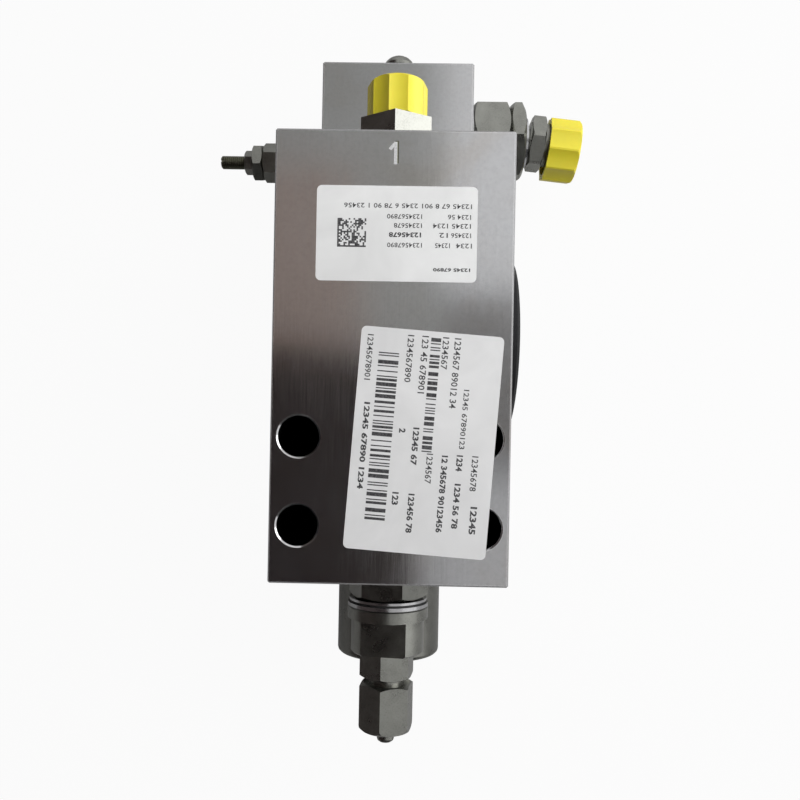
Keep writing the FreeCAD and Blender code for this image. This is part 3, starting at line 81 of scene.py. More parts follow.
class Look:
    """A node material around one principled shader, built up in the object's own coordinates."""

    def __init__(self, name, **sockets):
        self.material = bpy.data.materials.new(name)
        self.material.use_nodes = True
        self.tree = self.material.node_tree
        self.shader = self.tree.nodes["Principled BSDF"]
        self.place = self.node("ShaderNodeTexCoord").outputs["Object"]
        for socket, value in sockets.items():
            self.shader.inputs[socket.replace("_", " ")].default_value = value

    def node(self, kind, **settings):
        made = self.tree.nodes.new(kind)
        for key, value in settings.items():
            setattr(made, key, value)
        return made

    def link(self, source, target):
        self.tree.links.new(source, target)

    def stretched(self, scale):
        """The object's coordinates, scaled."""
        mapping = self.node("ShaderNodeMapping")
        mapping.inputs["Scale"].default_value = scale
        self.link(self.place, mapping.inputs["Vector"])
        return mapping.outputs["Vector"]

    def noise(self, scale, detail=4, vector=None, distortion=0.0):
        """A cloudy factor about 0.5."""
        made = self.node("ShaderNodeTexNoise")
        made.inputs["Scale"].default_value = scale
        made.inputs["Detail"].default_value = detail
        made.inputs["Roughness"].default_value = 0.55
        made.inputs["Distortion"].default_value = distortion
        self.link(vector or self.place, made.inputs["Vector"])
        return made.outputs["Fac"]

    def ramp(self, factor, stops):
        """Colours at places along a factor."""
        made = self.node("ShaderNodeValToRGB")
        elements = made.color_ramp.elements
        while len(elements) < len(stops):
            elements.new(0.5)
        for element, (position, colour) in zip(elements, stops):
            element.position = position
            element.color = (*colour, 1)
        self.link(factor, made.inputs["Fac"])
        return made.outputs["Color"]

    def span(self, factor, low, high, start=0.3, end=0.7):
        """A factor spread over a range of values."""
        made = self.node("ShaderNodeMapRange")
        made.inputs["From Min"].default_value = start
        made.inputs["From Max"].default_value = end
        made.inputs["To Min"].default_value = low
        made.inputs["To Max"].default_value = high
        self.link(factor, made.inputs["Value"])
        return made.outputs["Result"]

    def mix(self, share, first, second, kind):
        """Two colours, blended by a share."""
        made = self.node("ShaderNodeMix", data_type="RGBA", blend_type=kind)
        made.inputs["Factor"].default_value = share
        self.link(first, made.inputs["A"])
        self.link(second, made.inputs["B"])
        return made.outputs["Result"]

    def combine(self, operation, *values):
        """One factor worked out of others and plain numbers."""
        made = self.node("ShaderNodeMath", operation=operation)
        for socket, value in zip(made.inputs, values):
            if isinstance(value, float):
                socket.default_value = value
            else:
                self.link(value, socket)
        return made.outputs[0]

    def sum(self, first, second, share):
        """One factor plus a share of another."""
        return self.combine("MULTIPLY_ADD", second, share, first)

    def edges(self, reach):
        """Near 1 along sharp edges and 0 away from them."""
        soft = self.node("ShaderNodeBevel", samples=4)
        soft.inputs["Radius"].default_value = reach
        plain = self.node("ShaderNodeNewGeometry")
        likeness = self.node("ShaderNodeVectorMath", operation="DOT_PRODUCT")
        self.link(soft.outputs["Normal"], likeness.inputs[0])
        self.link(plain.outputs["Normal"], likeness.inputs[1])
        return self.span(likeness.outputs["Value"], 0.0, 1.0, 0.998, 0.9)

    def threads(self, pitch):
        """Even bands along X, one for each turn of a thread."""
        bands = self.node("ShaderNodeTexWave", bands_direction="X")
        bands.inputs["Scale"].default_value = math.pi / 10 / pitch
        self.link(self.place, bands.inputs["Vector"])
        return bands.outputs["Fac"]

    def colour(self, output):
        self.link(output, self.shader.inputs["Base Color"])

    def rough(self, output):
        self.link(output, self.shader.inputs["Roughness"])

    def bump(self, height, strength, distance):
        made = self.node("ShaderNodeBump")
        made.inputs["Strength"].default_value = strength
        made.inputs["Distance"].default_value = distance
        self.link(height, made.inputs["Height"])
        self.link(made.outputs["Normal"], self.shader.inputs["Normal"])


def grey(level):
    """A colour without a hue."""
    return (level, level, level)


def shades(colour, low, high):
    """Two tones of a colour."""
    return [(0.3, [channel * low for channel in colour]), (0.7, [channel * high for channel in colour])]


def ground_steel():
    """Surface ground steel: fine lines along the block, faint stains, a satin gloss, and edges lightened in colour
    as a painted highlight.
    """
    look = Look("ground_steel", Metallic=1.0)
    lines = look.noise(1.0, detail=3, vector=look.stretched((2600, 60, 2600)))
    stains = look.noise(28, detail=5, distortion=0.6)
    specks = look.noise(900, detail=2)
    steel = (0.50, 0.50, 0.51)
    tone = look.ramp(stains, [(0.32, (0.47, 0.455, 0.445)), (0.5, steel), (0.68, (0.52, 0.525, 0.54))])
    dust = look.ramp(specks, [(0.3, grey(0.9)), (0.6, grey(1))])
    # The edges are lightened in colour as a painted highlight.
    lightened_edges = look.ramp(look.edges(0.5 * MM), [(0.0, grey(0)), (1.0, grey(0.35))])
    ground = look.mix(0.7, tone, dust, "MULTIPLY")
    look.colour(look.mix(1.0, ground, lightened_edges, "ADD"))
    look.rough(look.span(look.sum(lines, stains, 0.6), 0.10, 0.20, 0.5, 1.1))
    look.bump(look.sum(lines, specks, 0.4), 0.12, 0.02 * MM)
    return look.material


def metal(name, colour, low, high, lines=0.0, pitch=0.0):
    """Machined or plated steel: cloudy, with fine pits and worn edges, and turned or threaded where asked."""
    look = Look(name, Metallic=1.0)
    clouds = look.noise(140, detail=5)
    pits = look.noise(1800, detail=2)
    tone = look.ramp(clouds, shades(colour, 0.82, 1.12))
    spots = look.ramp(pits, [(0.3, grey(0.75)), (0.5, grey(1))])
    lightened_edges = look.ramp(look.edges(0.15 * MM), [(0.2, grey(0)), (1.0, grey(0.07))])
    plating = look.mix(0.6, tone, spots, "MULTIPLY")
    look.colour(look.mix(1.0, plating, lightened_edges, "ADD"))
    look.rough(look.span(clouds, low, high))
    if lines:
        turned = look.noise(1.0, detail=2, vector=look.stretched((40, lines, 40)))
        look.bump(look.sum(pits, turned, 1.0), 0.2, 0.03 * MM)
    elif pitch:
        look.bump(look.threads(pitch), 0.6, 0.25 * pitch)
    else:
        look.bump(pits, 0.15, 0.03 * MM)
    return look.material


def engraved():
    """The rough bright floor of an engraved figure."""
    look = Look("engraved_steel", Metallic=0.6)
    grit = look.noise(2200, detail=3)
    look.colour(look.ramp(grit, [(0.3, (0.62, 0.63, 0.64)), (0.7, (0.86, 0.87, 0.88))]))
    look.rough(look.span(grit, 0.45, 0.65))
    look.bump(grit, 0.3, 0.03 * MM)
    return look.material


def moulded(name, colour, low, high, **sockets):
    """Moulded plastic with a fine orange-peel surface and slight scuffs."""
    look = Look(name, **sockets)
    clouds = look.noise(90)
    peel = look.noise(700, detail=2)
    look.colour(look.ramp(clouds, shades(colour, 0.93, 1.03)))
    look.rough(look.span(clouds, low, high))
    look.bump(peel, 0.12, 0.08 * MM)
    return look.material


def rubber():
    """Black seal rubber with a dull bloom."""
    look = Look("rubber")
    bloom = look.noise(260)
    look.colour(look.ramp(bloom, [(0.3, grey(0.02)), (0.75, (0.05, 0.05, 0.052))]))
    look.rough(look.span(bloom, 0.5, 0.7))
    look.bump(bloom, 0.2, 0.03 * MM)
    return look.material


def paper(name, colour):
    """Coated label stock, slightly creased and handled, its colour darkened with the creases as painted shade."""
    look = Look(name)
    crease_bumps_and_shade = look.noise(45, detail=3, distortion=0.8)
    fibre = look.noise(2500, detail=2)
    # The crease pattern darkens the colour as painted shade, and also bumps the surface.
    look.colour(look.ramp(crease_bumps_and_shade, shades(colour, 0.91, 1.03)))
    look.rough(look.span(fibre, 0.36, 0.5))
    look.bump(look.sum(crease_bumps_and_shade, fibre, 0.03), 0.45, 0.35 * MM)
    return look.material


def ink():
    """Printed black, a little worn."""
    look = Look("print_black")
    wear = look.noise(1400, detail=3)
    look.colour(look.ramp(wear, [(0.35, (0.025, 0.025, 0.028)), (0.75, (0.12, 0.12, 0.125))]))
    look.rough(look.span(wear, 0.4, 0.6))
    return look.material


BLOCK = ground_steel()
PLATED = metal("plated_steel", (0.275, 0.277, 0.255), 0.24, 0.36)
TURNED = metal("turned_steel", (0.20, 0.20, 0.185), 0.24, 0.36, lines=2400)
SCREW = metal("black_screw_steel", (0.10, 0.10, 0.07), 0.25, 0.4, pitch=0.8 * MM)
BRIGHT = metal("bright_steel", (0.52, 0.52, 0.53), 0.14, 0.26)
INNER = metal("hardened_steel", (0.55, 0.55, 0.56), 0.15, 0.25)
WIRE = metal("spring_wire", (0.4, 0.4, 0.41), 0.25, 0.35)
YELLOW = moulded("yellow_plastic", (0.78, 0.68, 0.04), 0.3, 0.42, Subsurface_Weight=0.06,
                 Subsurface_Scale=0.002)
BLACK = moulded("black_plastic", (0.014, 0.014, 0.015), 0.4, 0.55, Specular_IOR_Level=0.2)
RUBBER = rubber()
LABEL = paper("label_paper", (0.85, 0.86, 0.86))
LABEL_LARGE = paper("label_paper_large", (0.80, 0.805, 0.81))
INK = ink()
ENGRAVED = engraved()

SLOT_LOOKS = {
    "block_steel": BLOCK, "cap_steel": TURNED, "plated_steel": PLATED, "screw_steel": SCREW,
    "bright_ring": BRIGHT, "hardened_steel": INNER, "spring_steel": WIRE, "seal_rubber": RUBBER,
    "yellow_plastic": YELLOW, "black_plastic": BLACK,
}


def dress_nodes():
    """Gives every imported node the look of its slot."""
    for row in frame["record"]["subparts"]:
        node = frame["nodes"][row["node"]]
        node.data.materials.clear()
        node.data.materials.append(SLOT_LOOKS[row["material_slot"]])


# Pieces

# Labels and the port's mark, in millimetres. Each sinks a little into what it lies on.
LABEL_CORNER = 1.6
LABEL_SINK = -0.01
LABEL_TOP = 0.10
PRINT_LOW = 0.09
PRINT_TOP = 0.115
CORNER_STEPS = 6
# How much the figures' strokes are thickened, as a share of the font's own size.
BOLD_STROKE = 0.035
PLAIN_STROKE = 0.012
# The bars and gaps that a bar code draws from, and a matrix cell's printed height, which keeps its
# rows just apart.
BARS = (0.36, 0.36, 0.8, 1.2)
GAPS = (0.45, 0.45, 0.85, 1.25)
PRINTED_SHARE = 0.97
DARK_CHANCE = 0.5
# How far up the block the mark stands, and its size.
MARK_PLACE = 102.4
MARK_TALL = 7.0
MARK_THICK = 1.0
MARK_SINK = 0.02
MARK_RISE = 0.012
# The dark slab beside the mark is a painted shadow of its engraving: how high it rises and how far it is shifted.
MARK_SHADOW_RISE = 0.006
MARK_SHADOW_SHIFT = (0.45, 0.3)

# Sections of a thread's ridge in one turn, and half its widths at the foot and the crest, in pitches.
TURN_STEPS = 28
RIDGE_FOOT = 0.46
RIDGE_CREST = 0.08
# The capped threads of the two side fittings, M16 with a pitch of 1.5 mm.
CAPPED_RADIUS = 8 * MM
CAPPED_RISE = 0.15 * MM
CAPPED_DEPTH = 0.25 * MM
CAPPED_PITCH = 1.5 * MM
CAPPED_LEAD = 1.2 * MM
UPPER_THREAD = 9.4 * MM
PILOT_THREAD = 8.8 * MM
# The adjusting screw's own thread, and how much of the shown shaft has none.
SCREW_RISE = 0.02 * MM
SCREW_DEPTH = 0.4 * MM
SCREW_PITCH = 0.8 * MM
SCREW_LEAD = 0.5 * MM
SCREW_BARE = 0.8 * MM
# Points this near a fitting's end make its end face, and points this near each other are one.
END_REACH = 0.02 * MM
WELD = 0.01 * MM


def add_object(name, mesh_data, material):
    """Turns a bmesh into an object in the scene."""
    mesh = bpy.data.meshes.new(name)
    mesh_data.to_mesh(mesh)
    mesh_data.free()
    mesh.materials.append(material)
    made = bpy.data.objects.new(name, mesh)
    bpy.context.scene.collection.objects.link(made)
    return made


def add_piece(name, mesh_data, material, body):
    """Turns a bmesh into a piece that rides on a body."""
    piece = add_object(name, mesh_data, material)
    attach(piece, body)


def add_slab(mesh, outline, low, high):
    """A closed slab between two heights over an outline of (x, y)."""
    bottom = [mesh.verts.new((x, y, low)) for x, y in outline]
    top = [mesh.verts.new((x, y, high)) for x, y in outline]
    mesh.faces.new(list(reversed(bottom)))
    mesh.faces.new(top)
    count = len(outline)
    for index in range(count):
        following = (index + 1) % count
        mesh.faces.new((bottom[index], bottom[following], top[following], top[index]))


def rounded(width, length, radius):
    """Outline of a rounded rectangle about the origin."""
    points = []
    for corner, (sx, sy) in enumerate(((1, 1), (-1, 1), (-1, -1), (1, -1))):
        for step in range(CORNER_STEPS + 1):
            angle = math.pi / 2 * (corner + step / CORNER_STEPS)
            points.append((sx * (width / 2 - radius) + radius * math.cos(angle),
                           sy * (length / 2 - radius) + radius * math.sin(angle)))
    return points


class Sticker:
    """A thin printed label on the block's face, with its own flat coordinates in millimetres."""

    def __init__(self, name, centre, width, length, turn, material):
        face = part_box("valve_block")[1].z
        self.name = name
        self.placing = (Matrix.Translation((centre[0] * MM, centre[1] * MM, face))
                        @ Matrix.Rotation(math.radians(turn), 4, "Z"))
        self.print = bmesh.new()
        sheet = bmesh.new()
        outline = [(x * MM, y * MM) for x, y in rounded(width, length, LABEL_CORNER)]
        add_slab(sheet, outline, LABEL_SINK * MM, LABEL_TOP * MM)
        sheet.transform(self.placing)
        add_piece(name, sheet, material, "valve_body")

    def bar(self, x, y, width, length):
        """A printed bar about a place on the label."""
        half, reach = width / 2, length / 2
        corners = [(x - half, y - reach), (x + half, y - reach), (x + half, y + reach), (x - half, y + reach)]
        add_slab(self.print, [(a * MM, b * MM) for a, b in corners], PRINT_LOW * MM, PRINT_TOP * MM)

    def numbers(self, x, y, length, height, turn, text, bold):
        """Plain figures printed about a place, as long and as tall as asked."""
        font = bpy.data.curves.new("figures", "FONT")
        font.body = text
        font.resolution_u = 2
        font.extrude = 0.5
        font.offset = BOLD_STROKE if bold else PLAIN_STROKE
        holder = bpy.data.objects.new("figures", font)
        bpy.context.scene.collection.objects.link(holder)
        evaluated = holder.evaluated_get(bpy.context.evaluated_depsgraph_get())
        mesh = bpy.data.meshes.new_from_object(evaluated)
        bpy.data.objects.remove(holder)
        bpy.data.curves.remove(font)
        low = Vector([min(vertex.co[axis] for vertex in mesh.vertices) for axis in range(3)])
        high = Vector([max(vertex.co[axis] for vertex in mesh.vertices) for axis in range(3)])
        mesh.transform(Matrix.Translation(-(low + high) / 2))
        wide, tall = high.x - low.x, high.y - low.y
        mesh.transform(Matrix.Diagonal((length / wide, height / tall, PRINT_TOP - PRINT_LOW, 1)))
        mesh.transform(Matrix.Rotation(math.radians(turn), 4, "Z"))
        mesh.transform(Matrix.Translation((x, y, (PRINT_LOW + PRINT_TOP) / 2)))
        mesh.transform(Matrix.Scale(MM, 4))
        self.print.from_mesh(mesh)
        bpy.data.meshes.remove(mesh)

    def finish(self):
        self.print.transform(self.placing)
        add_piece(self.name + "_print", self.print, INK, "valve_body")


def matrix_code(sticker, x, y, size, cells, chance):
    """A square of random dark cells with a solid edge on two sides; it encodes nothing."""
    cell = size / cells
    for row in range(cells):
        run = 0
        for column in range(cells + 1):
            edge = column == 0 or row == 0
            dark = column < cells and (edge or chance.random() < DARK_CHANCE)
            if dark:
                run += 1
            elif run:
                middle = x + (column - run / 2) * cell
                sticker.bar(middle, y + (row + 0.5) * cell, run * cell, cell * PRINTED_SHARE)
                run = 0


def bar_code(sticker, x, low, high, width, chance):
    """A ladder of bars of random thickness; it encodes nothing."""
    y = low
    while y < high:
        thick = chance.choice(BARS)
        sticker.bar(x, y + thick / 2, width, thick)
        y += thick + chance.choice(GAPS)


def small_label():
    """White label near the upper end, with a matrix and rows of plain figures, upside down."""
    chance = random.Random(11)
    sticker = Sticker("small_label", (0.76, 77.35), 50.0, 29.7, 0.0, LABEL)
    matrix_code(sticker, -18.45, -4.3, 8.95, 18, chance)
    # Each row: its left and right end, its middle's height on the label, its tallness, figures, bold or not.
    rows = (
        (-16.5, 23.2, 8.7, 1.5, "12345 67 8 901 2345 6 78 90 1 23456", False),
        (-3.1, 7.8, 5.4, 1.5, "1234567890", False), (15.8, 23.0, 5.4, 1.5, "1234 56", False),
        (-0.9, 7.8, 2.6, 1.5, "12345678", False), (11.2, 15.9, 2.6, 1.5, "1234", False),
        (17.1, 23.0, 2.6, 1.5, "12345", False),
        (-2.4, 7.6, -0.3, 1.6, "12345678", True), (13.2, 15.9, -0.3, 1.5, "12", False),
        (16.9, 23.1, -0.3, 1.5, "123456", False),
        (-2.9, 7.9, -3.5, 1.5, "1234567890", False), (12.0, 16.6, -3.5, 1.5, "12345", False),
        (18.5, 23.4, -3.5, 1.5, "1234", False),
        (11.5, 23.0, -11.0, 1.15, "12345 67890", True),
    )
    for low, high, y, height, text, bold in rows:
        sticker.numbers((low + high) / 2, y, high - low, height, 180, text, bold)
    sticker.finish()


def large_label():
    """Large label over the right bolt holes, slightly turned, with two bar codes and plain figures."""
    chance = random.Random(23)
    sticker = Sticker("large_label", (10.36, 12.6), 44.4, 69.4, -3.9, LABEL_LARGE)
    bar_code(sticker, -13.1, -25.2, 27.4, 6.35, chance)
    bar_code(sticker, 1.15, -2.8, 33.2, 3.1, chance)
    # Each row reads downwards: its place across, its top and bottom, its tallness, figures, bold or not.
    rows = (
        (-19.2, 32.2, 18.0, 1.9, "12345678901", False), (-18.5, 11.1, -16.0, 1.9, "12345 67890 1234", True),
        (-6.7, 33.0, 18.3, 2.0, "1234567890", False), (-6.9, 3.9, 2.5, 2.0, "2", True),
        (-7.3, -16.0, -20.0, 2.0, "123", True), (-2.2, 33.1, 15.2, 2.1, "123 45 678901", False),
        (-2.6, 4.5, -7.2, 2.0, "12345 67", True), (-2.3, -16.1, -28.3, 2.0, "123456 78", True),
        (2.3, -3.2, -12.5, 2.0, "1234567", False), (4.2, 33.2, 23.2, 2.0, "1234567", False),
        (7.0, -3.4, -27.4, 2.0, "12 345678 90123456", True),
        (7.9, 33.2, 11.4, 2.1, "1234567 89012 34", False),
        (11.6, -2.9, -7.9, 2.0, "1234", True), (11.7, -11.8, -25.8, 2.0, "1234 56 78", True),
        (11.9, 17.5, -1.0, 1.7, "12345 67890123", False), (16.4, -2.8, -13.7, 2.0, "12345678", False),
        (17.3, -18.5, -27.1, 2.1, "12345", True),
    )
    for x, top, bottom, height, text, bold in rows:
        sticker.numbers(x, (top + bottom) / 2, top - bottom, height, -90, text, bold)
    sticker.finish()


def port_mark():
    """A plain figure one beside the upper fitting, with a dark slab at one side that paints the shadow in its
    engraving.
    """
    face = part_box("valve_block")[1].z
    mark = bmesh.new()
    half, top = MARK_THICK / 2, MARK_TALL / 2
    figure = [(-half, -top), (half, -top), (half, top), (-half, top),
              (-2.2, top - 2.0), (-1.5, top - 2.7), (-half, top - 1.7)]
    outline = [(x * MM, (MARK_PLACE + y) * MM) for x, y in figure]
    low = face - MARK_SINK * MM
    add_slab(mark, outline, low, face + MARK_RISE * MM)
    add_piece("port_mark", mark, ENGRAVED, "valve_body")
    # A dark slab, offset to one side, as the painted shadow of the engraving.
    painted_shadow_slab = bmesh.new()
    right, up = (shift * MM for shift in MARK_SHADOW_SHIFT)
    add_slab(painted_shadow_slab, [(x + right, y + up) for x, y in outline], low, face + MARK_SHADOW_RISE * MM)
    add_piece("port_mark_painted_shadow", painted_shadow_slab, SCREW, "valve_body")


def thread(name, place, axis, radius, depth, pitch, length, body, material):
    """A screw thread's ridge wound round a shaft, as one closed strip with tapered ends."""
    forward = Vector(axis).normalized()
    across = forward.orthogonal().normalized()
    other = forward.cross(across)
    count = int(length / pitch * TURN_STEPS)
    ridge = bmesh.new()
    sections = []
    for step in range(count + 1):
        angle = 2 * math.pi * step / TURN_STEPS
        outward = across * math.cos(angle) + other * math.sin(angle)
        taper = min(1.0, step / TURN_STEPS * 2, (count - step) / TURN_STEPS * 2)
        middle = Vector(place) + forward * (pitch * step / TURN_STEPS)
        crest = radius - depth * (1 - taper)
        foot = radius - depth
        corners = ((foot, -RIDGE_FOOT), (crest, -RIDGE_CREST), (crest, RIDGE_CREST), (foot, RIDGE_FOOT))
        sections.append([ridge.verts.new(middle + outward * reach + forward * (pitch * along))
                         for reach, along in corners])
    for first, second in zip(sections, sections[1:]):
        for side in range(4):
            following = (side + 1) % 4
            ridge.faces.new((first[side], second[side], second[following], first[following]))
    ridge.faces.new(list(reversed(sections[0])))
    ridge.faces.new(sections[-1])
    bmesh.ops.recalc_face_normals(ridge, faces=ridge.faces)
    add_piece(name, ridge, material, body)


def end_middle(node, axis):
    """The middle of a node's end face, far along an axis."""
    points = [vertex.co for vertex in frame["nodes"][node].data.vertices]
    reach = max(point.dot(axis) for point in points)
    rim = [point for point in points if point.dot(axis) > reach - END_REACH]
    return sum(rim, Vector()) / len(rim)


def capped_thread(node, cap_joint, length):
    """The thread ridge on a fitting's outer end, which its protective cap hides at rest."""
    axis = Vector(next(joint["axis"] for joint in frame["joints"] if joint["name"] == cap_joint))
    place = end_middle(node, axis) - axis * (length + CAPPED_LEAD)
    thread(node + "_thread", place, axis, CAPPED_RADIUS + CAPPED_RISE, CAPPED_DEPTH, CAPPED_PITCH, length,
           "valve_body", PLATED)


def add_threads():
    """Thread ridges where a screw's shaft shows, and under the two protective caps."""
    capped_thread("upper_fitting", "upper_cap_slide", UPPER_THREAD)
    capped_thread("pilot_reducer", "pilot_cap_slide", PILOT_THREAD)
    low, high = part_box("adjusting_screw")
    middle = (low + high) / 2
    radius = (high.y - low.y) / 2
    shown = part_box("adjuster_lock_nut")[0].x - low.x
    thread("adjusting_screw_thread", (low.x + SCREW_LEAD, middle.y, middle.z), (1, 0, 0), radius + SCREW_RISE,
           SCREW_DEPTH, SCREW_PITCH, shown - SCREW_BARE, "adjusting_screw", SCREW)


def spring(name, node, cut=None):
    """A spring's own coils as a piece of its own, in place of its node.

    A cut is a plane, as a point and a direction, and what lies behind it is left out.
    """
    coils = bmesh.new()
    coils.from_mesh(frame["nodes"][node].data)
    bmesh.ops.remove_doubles(coils, verts=coils.verts, dist=WELD / 10)
    if cut:
        everything = coils.verts[:] + coils.edges[:] + coils.faces[:]
        sliced = bmesh.ops.bisect_plane(coils, geom=everything, plane_co=cut[0], plane_no=cut[1],
                                        clear_inner=True)
        rims = [item for item in sliced["geom_cut"] if isinstance(item, bmesh.types.BMEdge)]
        bmesh.ops.edgeloop_fill(coils, edges=rims)
        bmesh.ops.remove_doubles(coils, verts=coils.verts, dist=WELD)
    for face in coils.faces:
        face.smooth = True
    piece = add_object(name, coils, WIRE)
    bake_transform(piece)
    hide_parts(node)


def add_springs():
    """The springs' coils as pieces of their own; the relief spring's as two halves, cut across its middle."""
    for node, moving in (("main_spring", "main_poppet"), ("pilot_spring", "pilot_piston"),
                         ("check_spring", "check_poppet")):
        low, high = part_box(node)
        middle = (low + high) / 2
        spring(node + "_coils", node)
    low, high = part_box("relief_spring")
    middle = (low + high) / 2
    spring("relief_spring_inner", "relief_spring", (middle, (1, 0, 0)))
    spring("relief_spring_outer", "relief_spring", (middle, (-1, 0, 0)))


# Stage

# Shares of plain white in the floor, as the camera sees it and as metal mirrors it.
FLOOR_GLOW = 0.95
MIRRORED_GLOW = 0.1
FLOOR_TONE = grey(0.42)
FLOOR_REACH = 6.0
FLOOR_GAP = 0.1 * MM


def floor_look():
    """Matt, white to the camera and weaker in the steel's reflections, with a painted shadow under the block's
    footprint that darkens the bolt holes.
    """
    look = Look("floor_white", Roughness=0.9)
    low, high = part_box("valve_block")
    scaled = look.node("ShaderNodeVectorMath", operation="DIVIDE")
    scaled.inputs[1].default_value = (high.x, -low.y, 1)
    look.link(look.place, scaled.inputs[0])
    sides = look.node("ShaderNodeVectorMath", operation="ABSOLUTE")
    look.link(scaled.outputs[0], sides.inputs[0])
    parts = look.node("ShaderNodeSeparateXYZ")
    look.link(sides.outputs[0], parts.inputs[0])
    farther = look.combine("MAXIMUM", parts.outputs["X"], parts.outputs["Y"])
    clear = look.span(farther, 0.0, 1.0, 0.96, 1.0)
    # Under the block's footprint the floor's colour is dark: a painted shadow.
    look.colour(look.ramp(clear, [(0.0, grey(0.02)), (1.0, FLOOR_TONE)]))
    rays = look.node("ShaderNodeLightPath")
    direct = look.combine("MAXIMUM", rays.outputs["Is Camera Ray"], rays.outputs["Is Transmission Ray"])
    seen = look.combine("MULTIPLY", direct, FLOOR_GLOW)
    mirrored = look.combine("MULTIPLY", rays.outputs["Is Glossy Ray"], MIRRORED_GLOW)
    # The glow is also held back in the painted shadow under the block.
    share = look.combine("MULTIPLY", look.combine("MAXIMUM", seen, mirrored), clear)
    glow = look.node("ShaderNodeEmission")
    glow.inputs["Color"].default_value = (1, 1, 1, 1)
    blend = look.node("ShaderNodeMixShader")
    look.link(share, blend.inputs["Fac"])
    look.link(look.shader.outputs[0], blend.inputs[1])
    look.link(glow.outputs[0], blend.inputs[2])
    look.link(blend.outputs[0], look.tree.nodes["Material Output"].inputs["Surface"])
    return look.material


def add_sheet(name, corners, material):
    """One flat face of the stage."""
    sheet = bmesh.new()
    sheet.faces.new([sheet.verts.new(corner) for corner in corners])
    made = add_object(name, sheet, material)
    return made


def add_floor():
    """A pale floor under the block, white to the camera, with a painted shadow under the block's footprint."""
    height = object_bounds()[0].z - FLOOR_GAP
    corners = [(x * FLOOR_REACH, y * FLOOR_REACH, height) for x, y in ((-1, -1), (1, -1), (1, 1), (-1, 1))]
    add_sheet("floor", corners, floor_look())


def panel_look(name, colour, glow=0.0, tint=(1, 1, 1)):
    """Matt studio board, with a glow of its own where asked."""
    return Look(name, Base_Color=(*colour, 1), Roughness=1.0, Emission_Color=(*tint, 1),
                Emission_Strength=glow).material


def add_studio():
    """Boards round and over the block, unseen by the camera, that shape the steel's reflections."""
    dark = panel_look("flag_black", (0.115, 0.094, 0.093))
    low_grey = panel_look("flag_low_grey", grey(0.07))
    soft = panel_look("flag_grey", (0.85, 0.86, 0.83), 0.07, (0.98, 1, 0.96))
    warm = panel_look("flag_warm", (0.84, 0.68, 0.60), 0.07, (1, 0.84, 0.76))
    mild = panel_look("flag_mild", grey(0.62))
    card = panel_look("card_white", grey(0.8), 0.33)
    boards = [
        ("left_flag", dark, ((-0.5, -1.0, 0.02), (-0.5, 1.0, 0.02), (-0.28, 1.0, 0.62), (-0.28, -1.0, 0.62))),
        ("lower_flag", low_grey,
         ((-0.5, -0.55, 0.02), (0.8, -0.55, 0.02), (0.8, -0.5, 0.62), (-0.5, -0.5, 0.62))),
    ]
    # The boards overhead, each with its height: the lowest covers the ones above it.
    overhead = (
        ("overhead_flag", dark, 0.6, ((-0.45, -0.5), (0.064, -0.5), (0.0, 0.095), (-0.45, 0.13))),
        ("overhead_warm", warm, 0.605, ((-0.45, 0.09), (-0.03, 0.09), (-0.05, 0.28), (-0.45, 0.28))),
        ("overhead_grey", soft, 0.61, ((-0.45, 0.09), (0.045, 0.09), (0.045, 0.55), (-0.45, 0.55))),
        ("right_mild", mild, 0.615, ((0.0, -0.02), (0.5, -0.02), (0.5, 0.16), (0.0, 0.16))),
        ("right_card", card, 0.62, ((0.0, -0.5), (0.5, -0.5), (0.5, -0.02), (0.0, -0.02))),
    )
    boards += [(name, look, [(x, y, height) for x, y in outline]) for name, look, height, outline in overhead]
    for name, look, corners in boards:
        add_sheet(name, corners, look).visible_camera = False


# Light

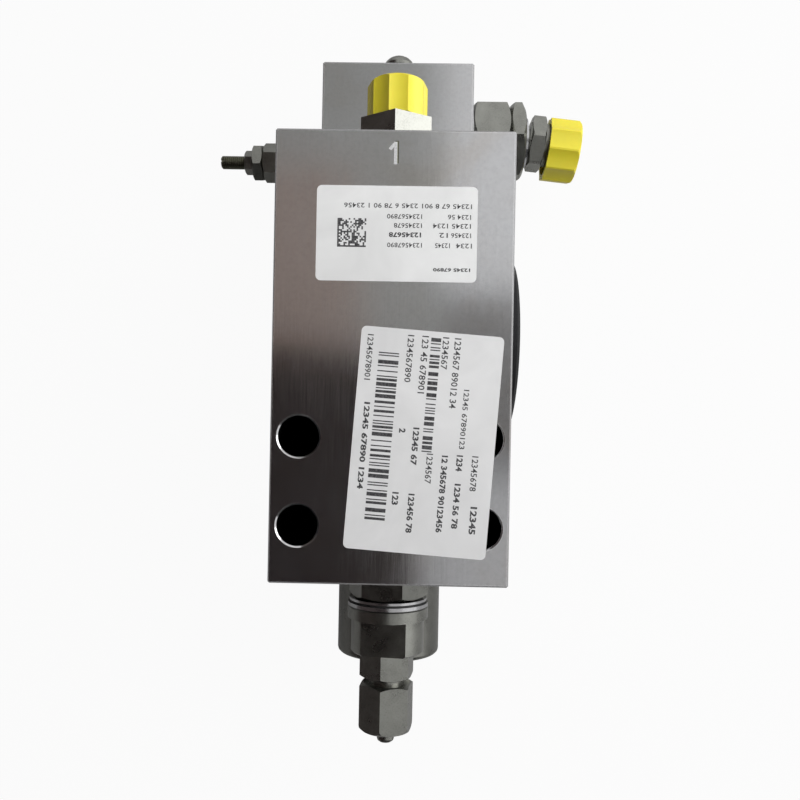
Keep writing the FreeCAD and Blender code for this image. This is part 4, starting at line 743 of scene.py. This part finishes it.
def add_lamp(name, place, target, size, power, mirrored=True):
    """A soft square lamp that faces a place, and that metal mirrors or not."""
    data = bpy.data.lights.new(name, "AREA")
    data.size = size
    data.energy = power
    lamp = bpy.data.objects.new(name, data)
    lamp.location = place
    lamp.rotation_euler = (Vector(target) - Vector(place)).to_track_quat("-Z", "Y").to_euler()
    lamp.visible_glossy = mirrored
    bpy.context.scene.collection.objects.link(lamp)


def add_light():
    """Plain white surroundings, a soft lamp at the right and one overhead that evens the labels."""
    world = bpy.data.worlds.new("studio")
    world.use_nodes = True
    background = world.node_tree.nodes["Background"]
    background.inputs["Color"].default_value = (1, 1, 1, 1)
    background.inputs["Strength"].default_value = 1.0
    bpy.context.scene.world = world
    add_lamp("right_lamp", (0.9, 0.35, 0.55), (0, 0.05, 0.05), 0.8, 6.5)
    add_lamp("top_lamp", (0.3, 0.25, 0.55), (0.02, 0.05, 0.08), 0.3, 1.1, mirrored=False)


# Camera: its place, its small tilt, turn and roll in degrees, and the rest in pixels of the photograph.
CAMERA_PLACE = (2.36 * MM, 13.31 * MM, 333.2 * MM)
CAMERA_ANGLES = (-0.053, 0.808, 1.103)
FOCAL_PIXELS = 766.5
PRINCIPAL_PIXEL = (387.0, 440.7)
PICTURE = 800
SENSOR = 36
CLIP_START = 0.01


def add_camera():
    """The photograph's camera: straight down on the label face, slightly turned, with a small shift."""
    data = bpy.data.cameras.new("camera")
    data.sensor_width = SENSOR
    data.lens = FOCAL_PIXELS / PICTURE * SENSOR
    data.shift_x = (PICTURE / 2 - PRINCIPAL_PIXEL[0]) / PICTURE
    data.shift_y = (PRINCIPAL_PIXEL[1] - PICTURE / 2) / PICTURE
    data.clip_start = CLIP_START
    camera = bpy.data.objects.new("camera", data)
    tilt, turn, roll = (math.radians(angle) for angle in CAMERA_ANGLES)
    camera.matrix_world = (Matrix.Translation(CAMERA_PLACE) @ Matrix.Rotation(roll, 4, "Z")
                           @ Matrix.Rotation(tilt, 4, "X") @ Matrix.Rotation(turn, 4, "Y"))
    bpy.context.scene.collection.objects.link(camera)
    bpy.context.scene.camera = camera


dress_nodes()
small_label()
large_label()
port_mark()
add_threads()
add_springs()
add_floor()
add_studio()
add_light()
add_camera()
bpy.context.scene.view_settings.view_transform = "Standard"
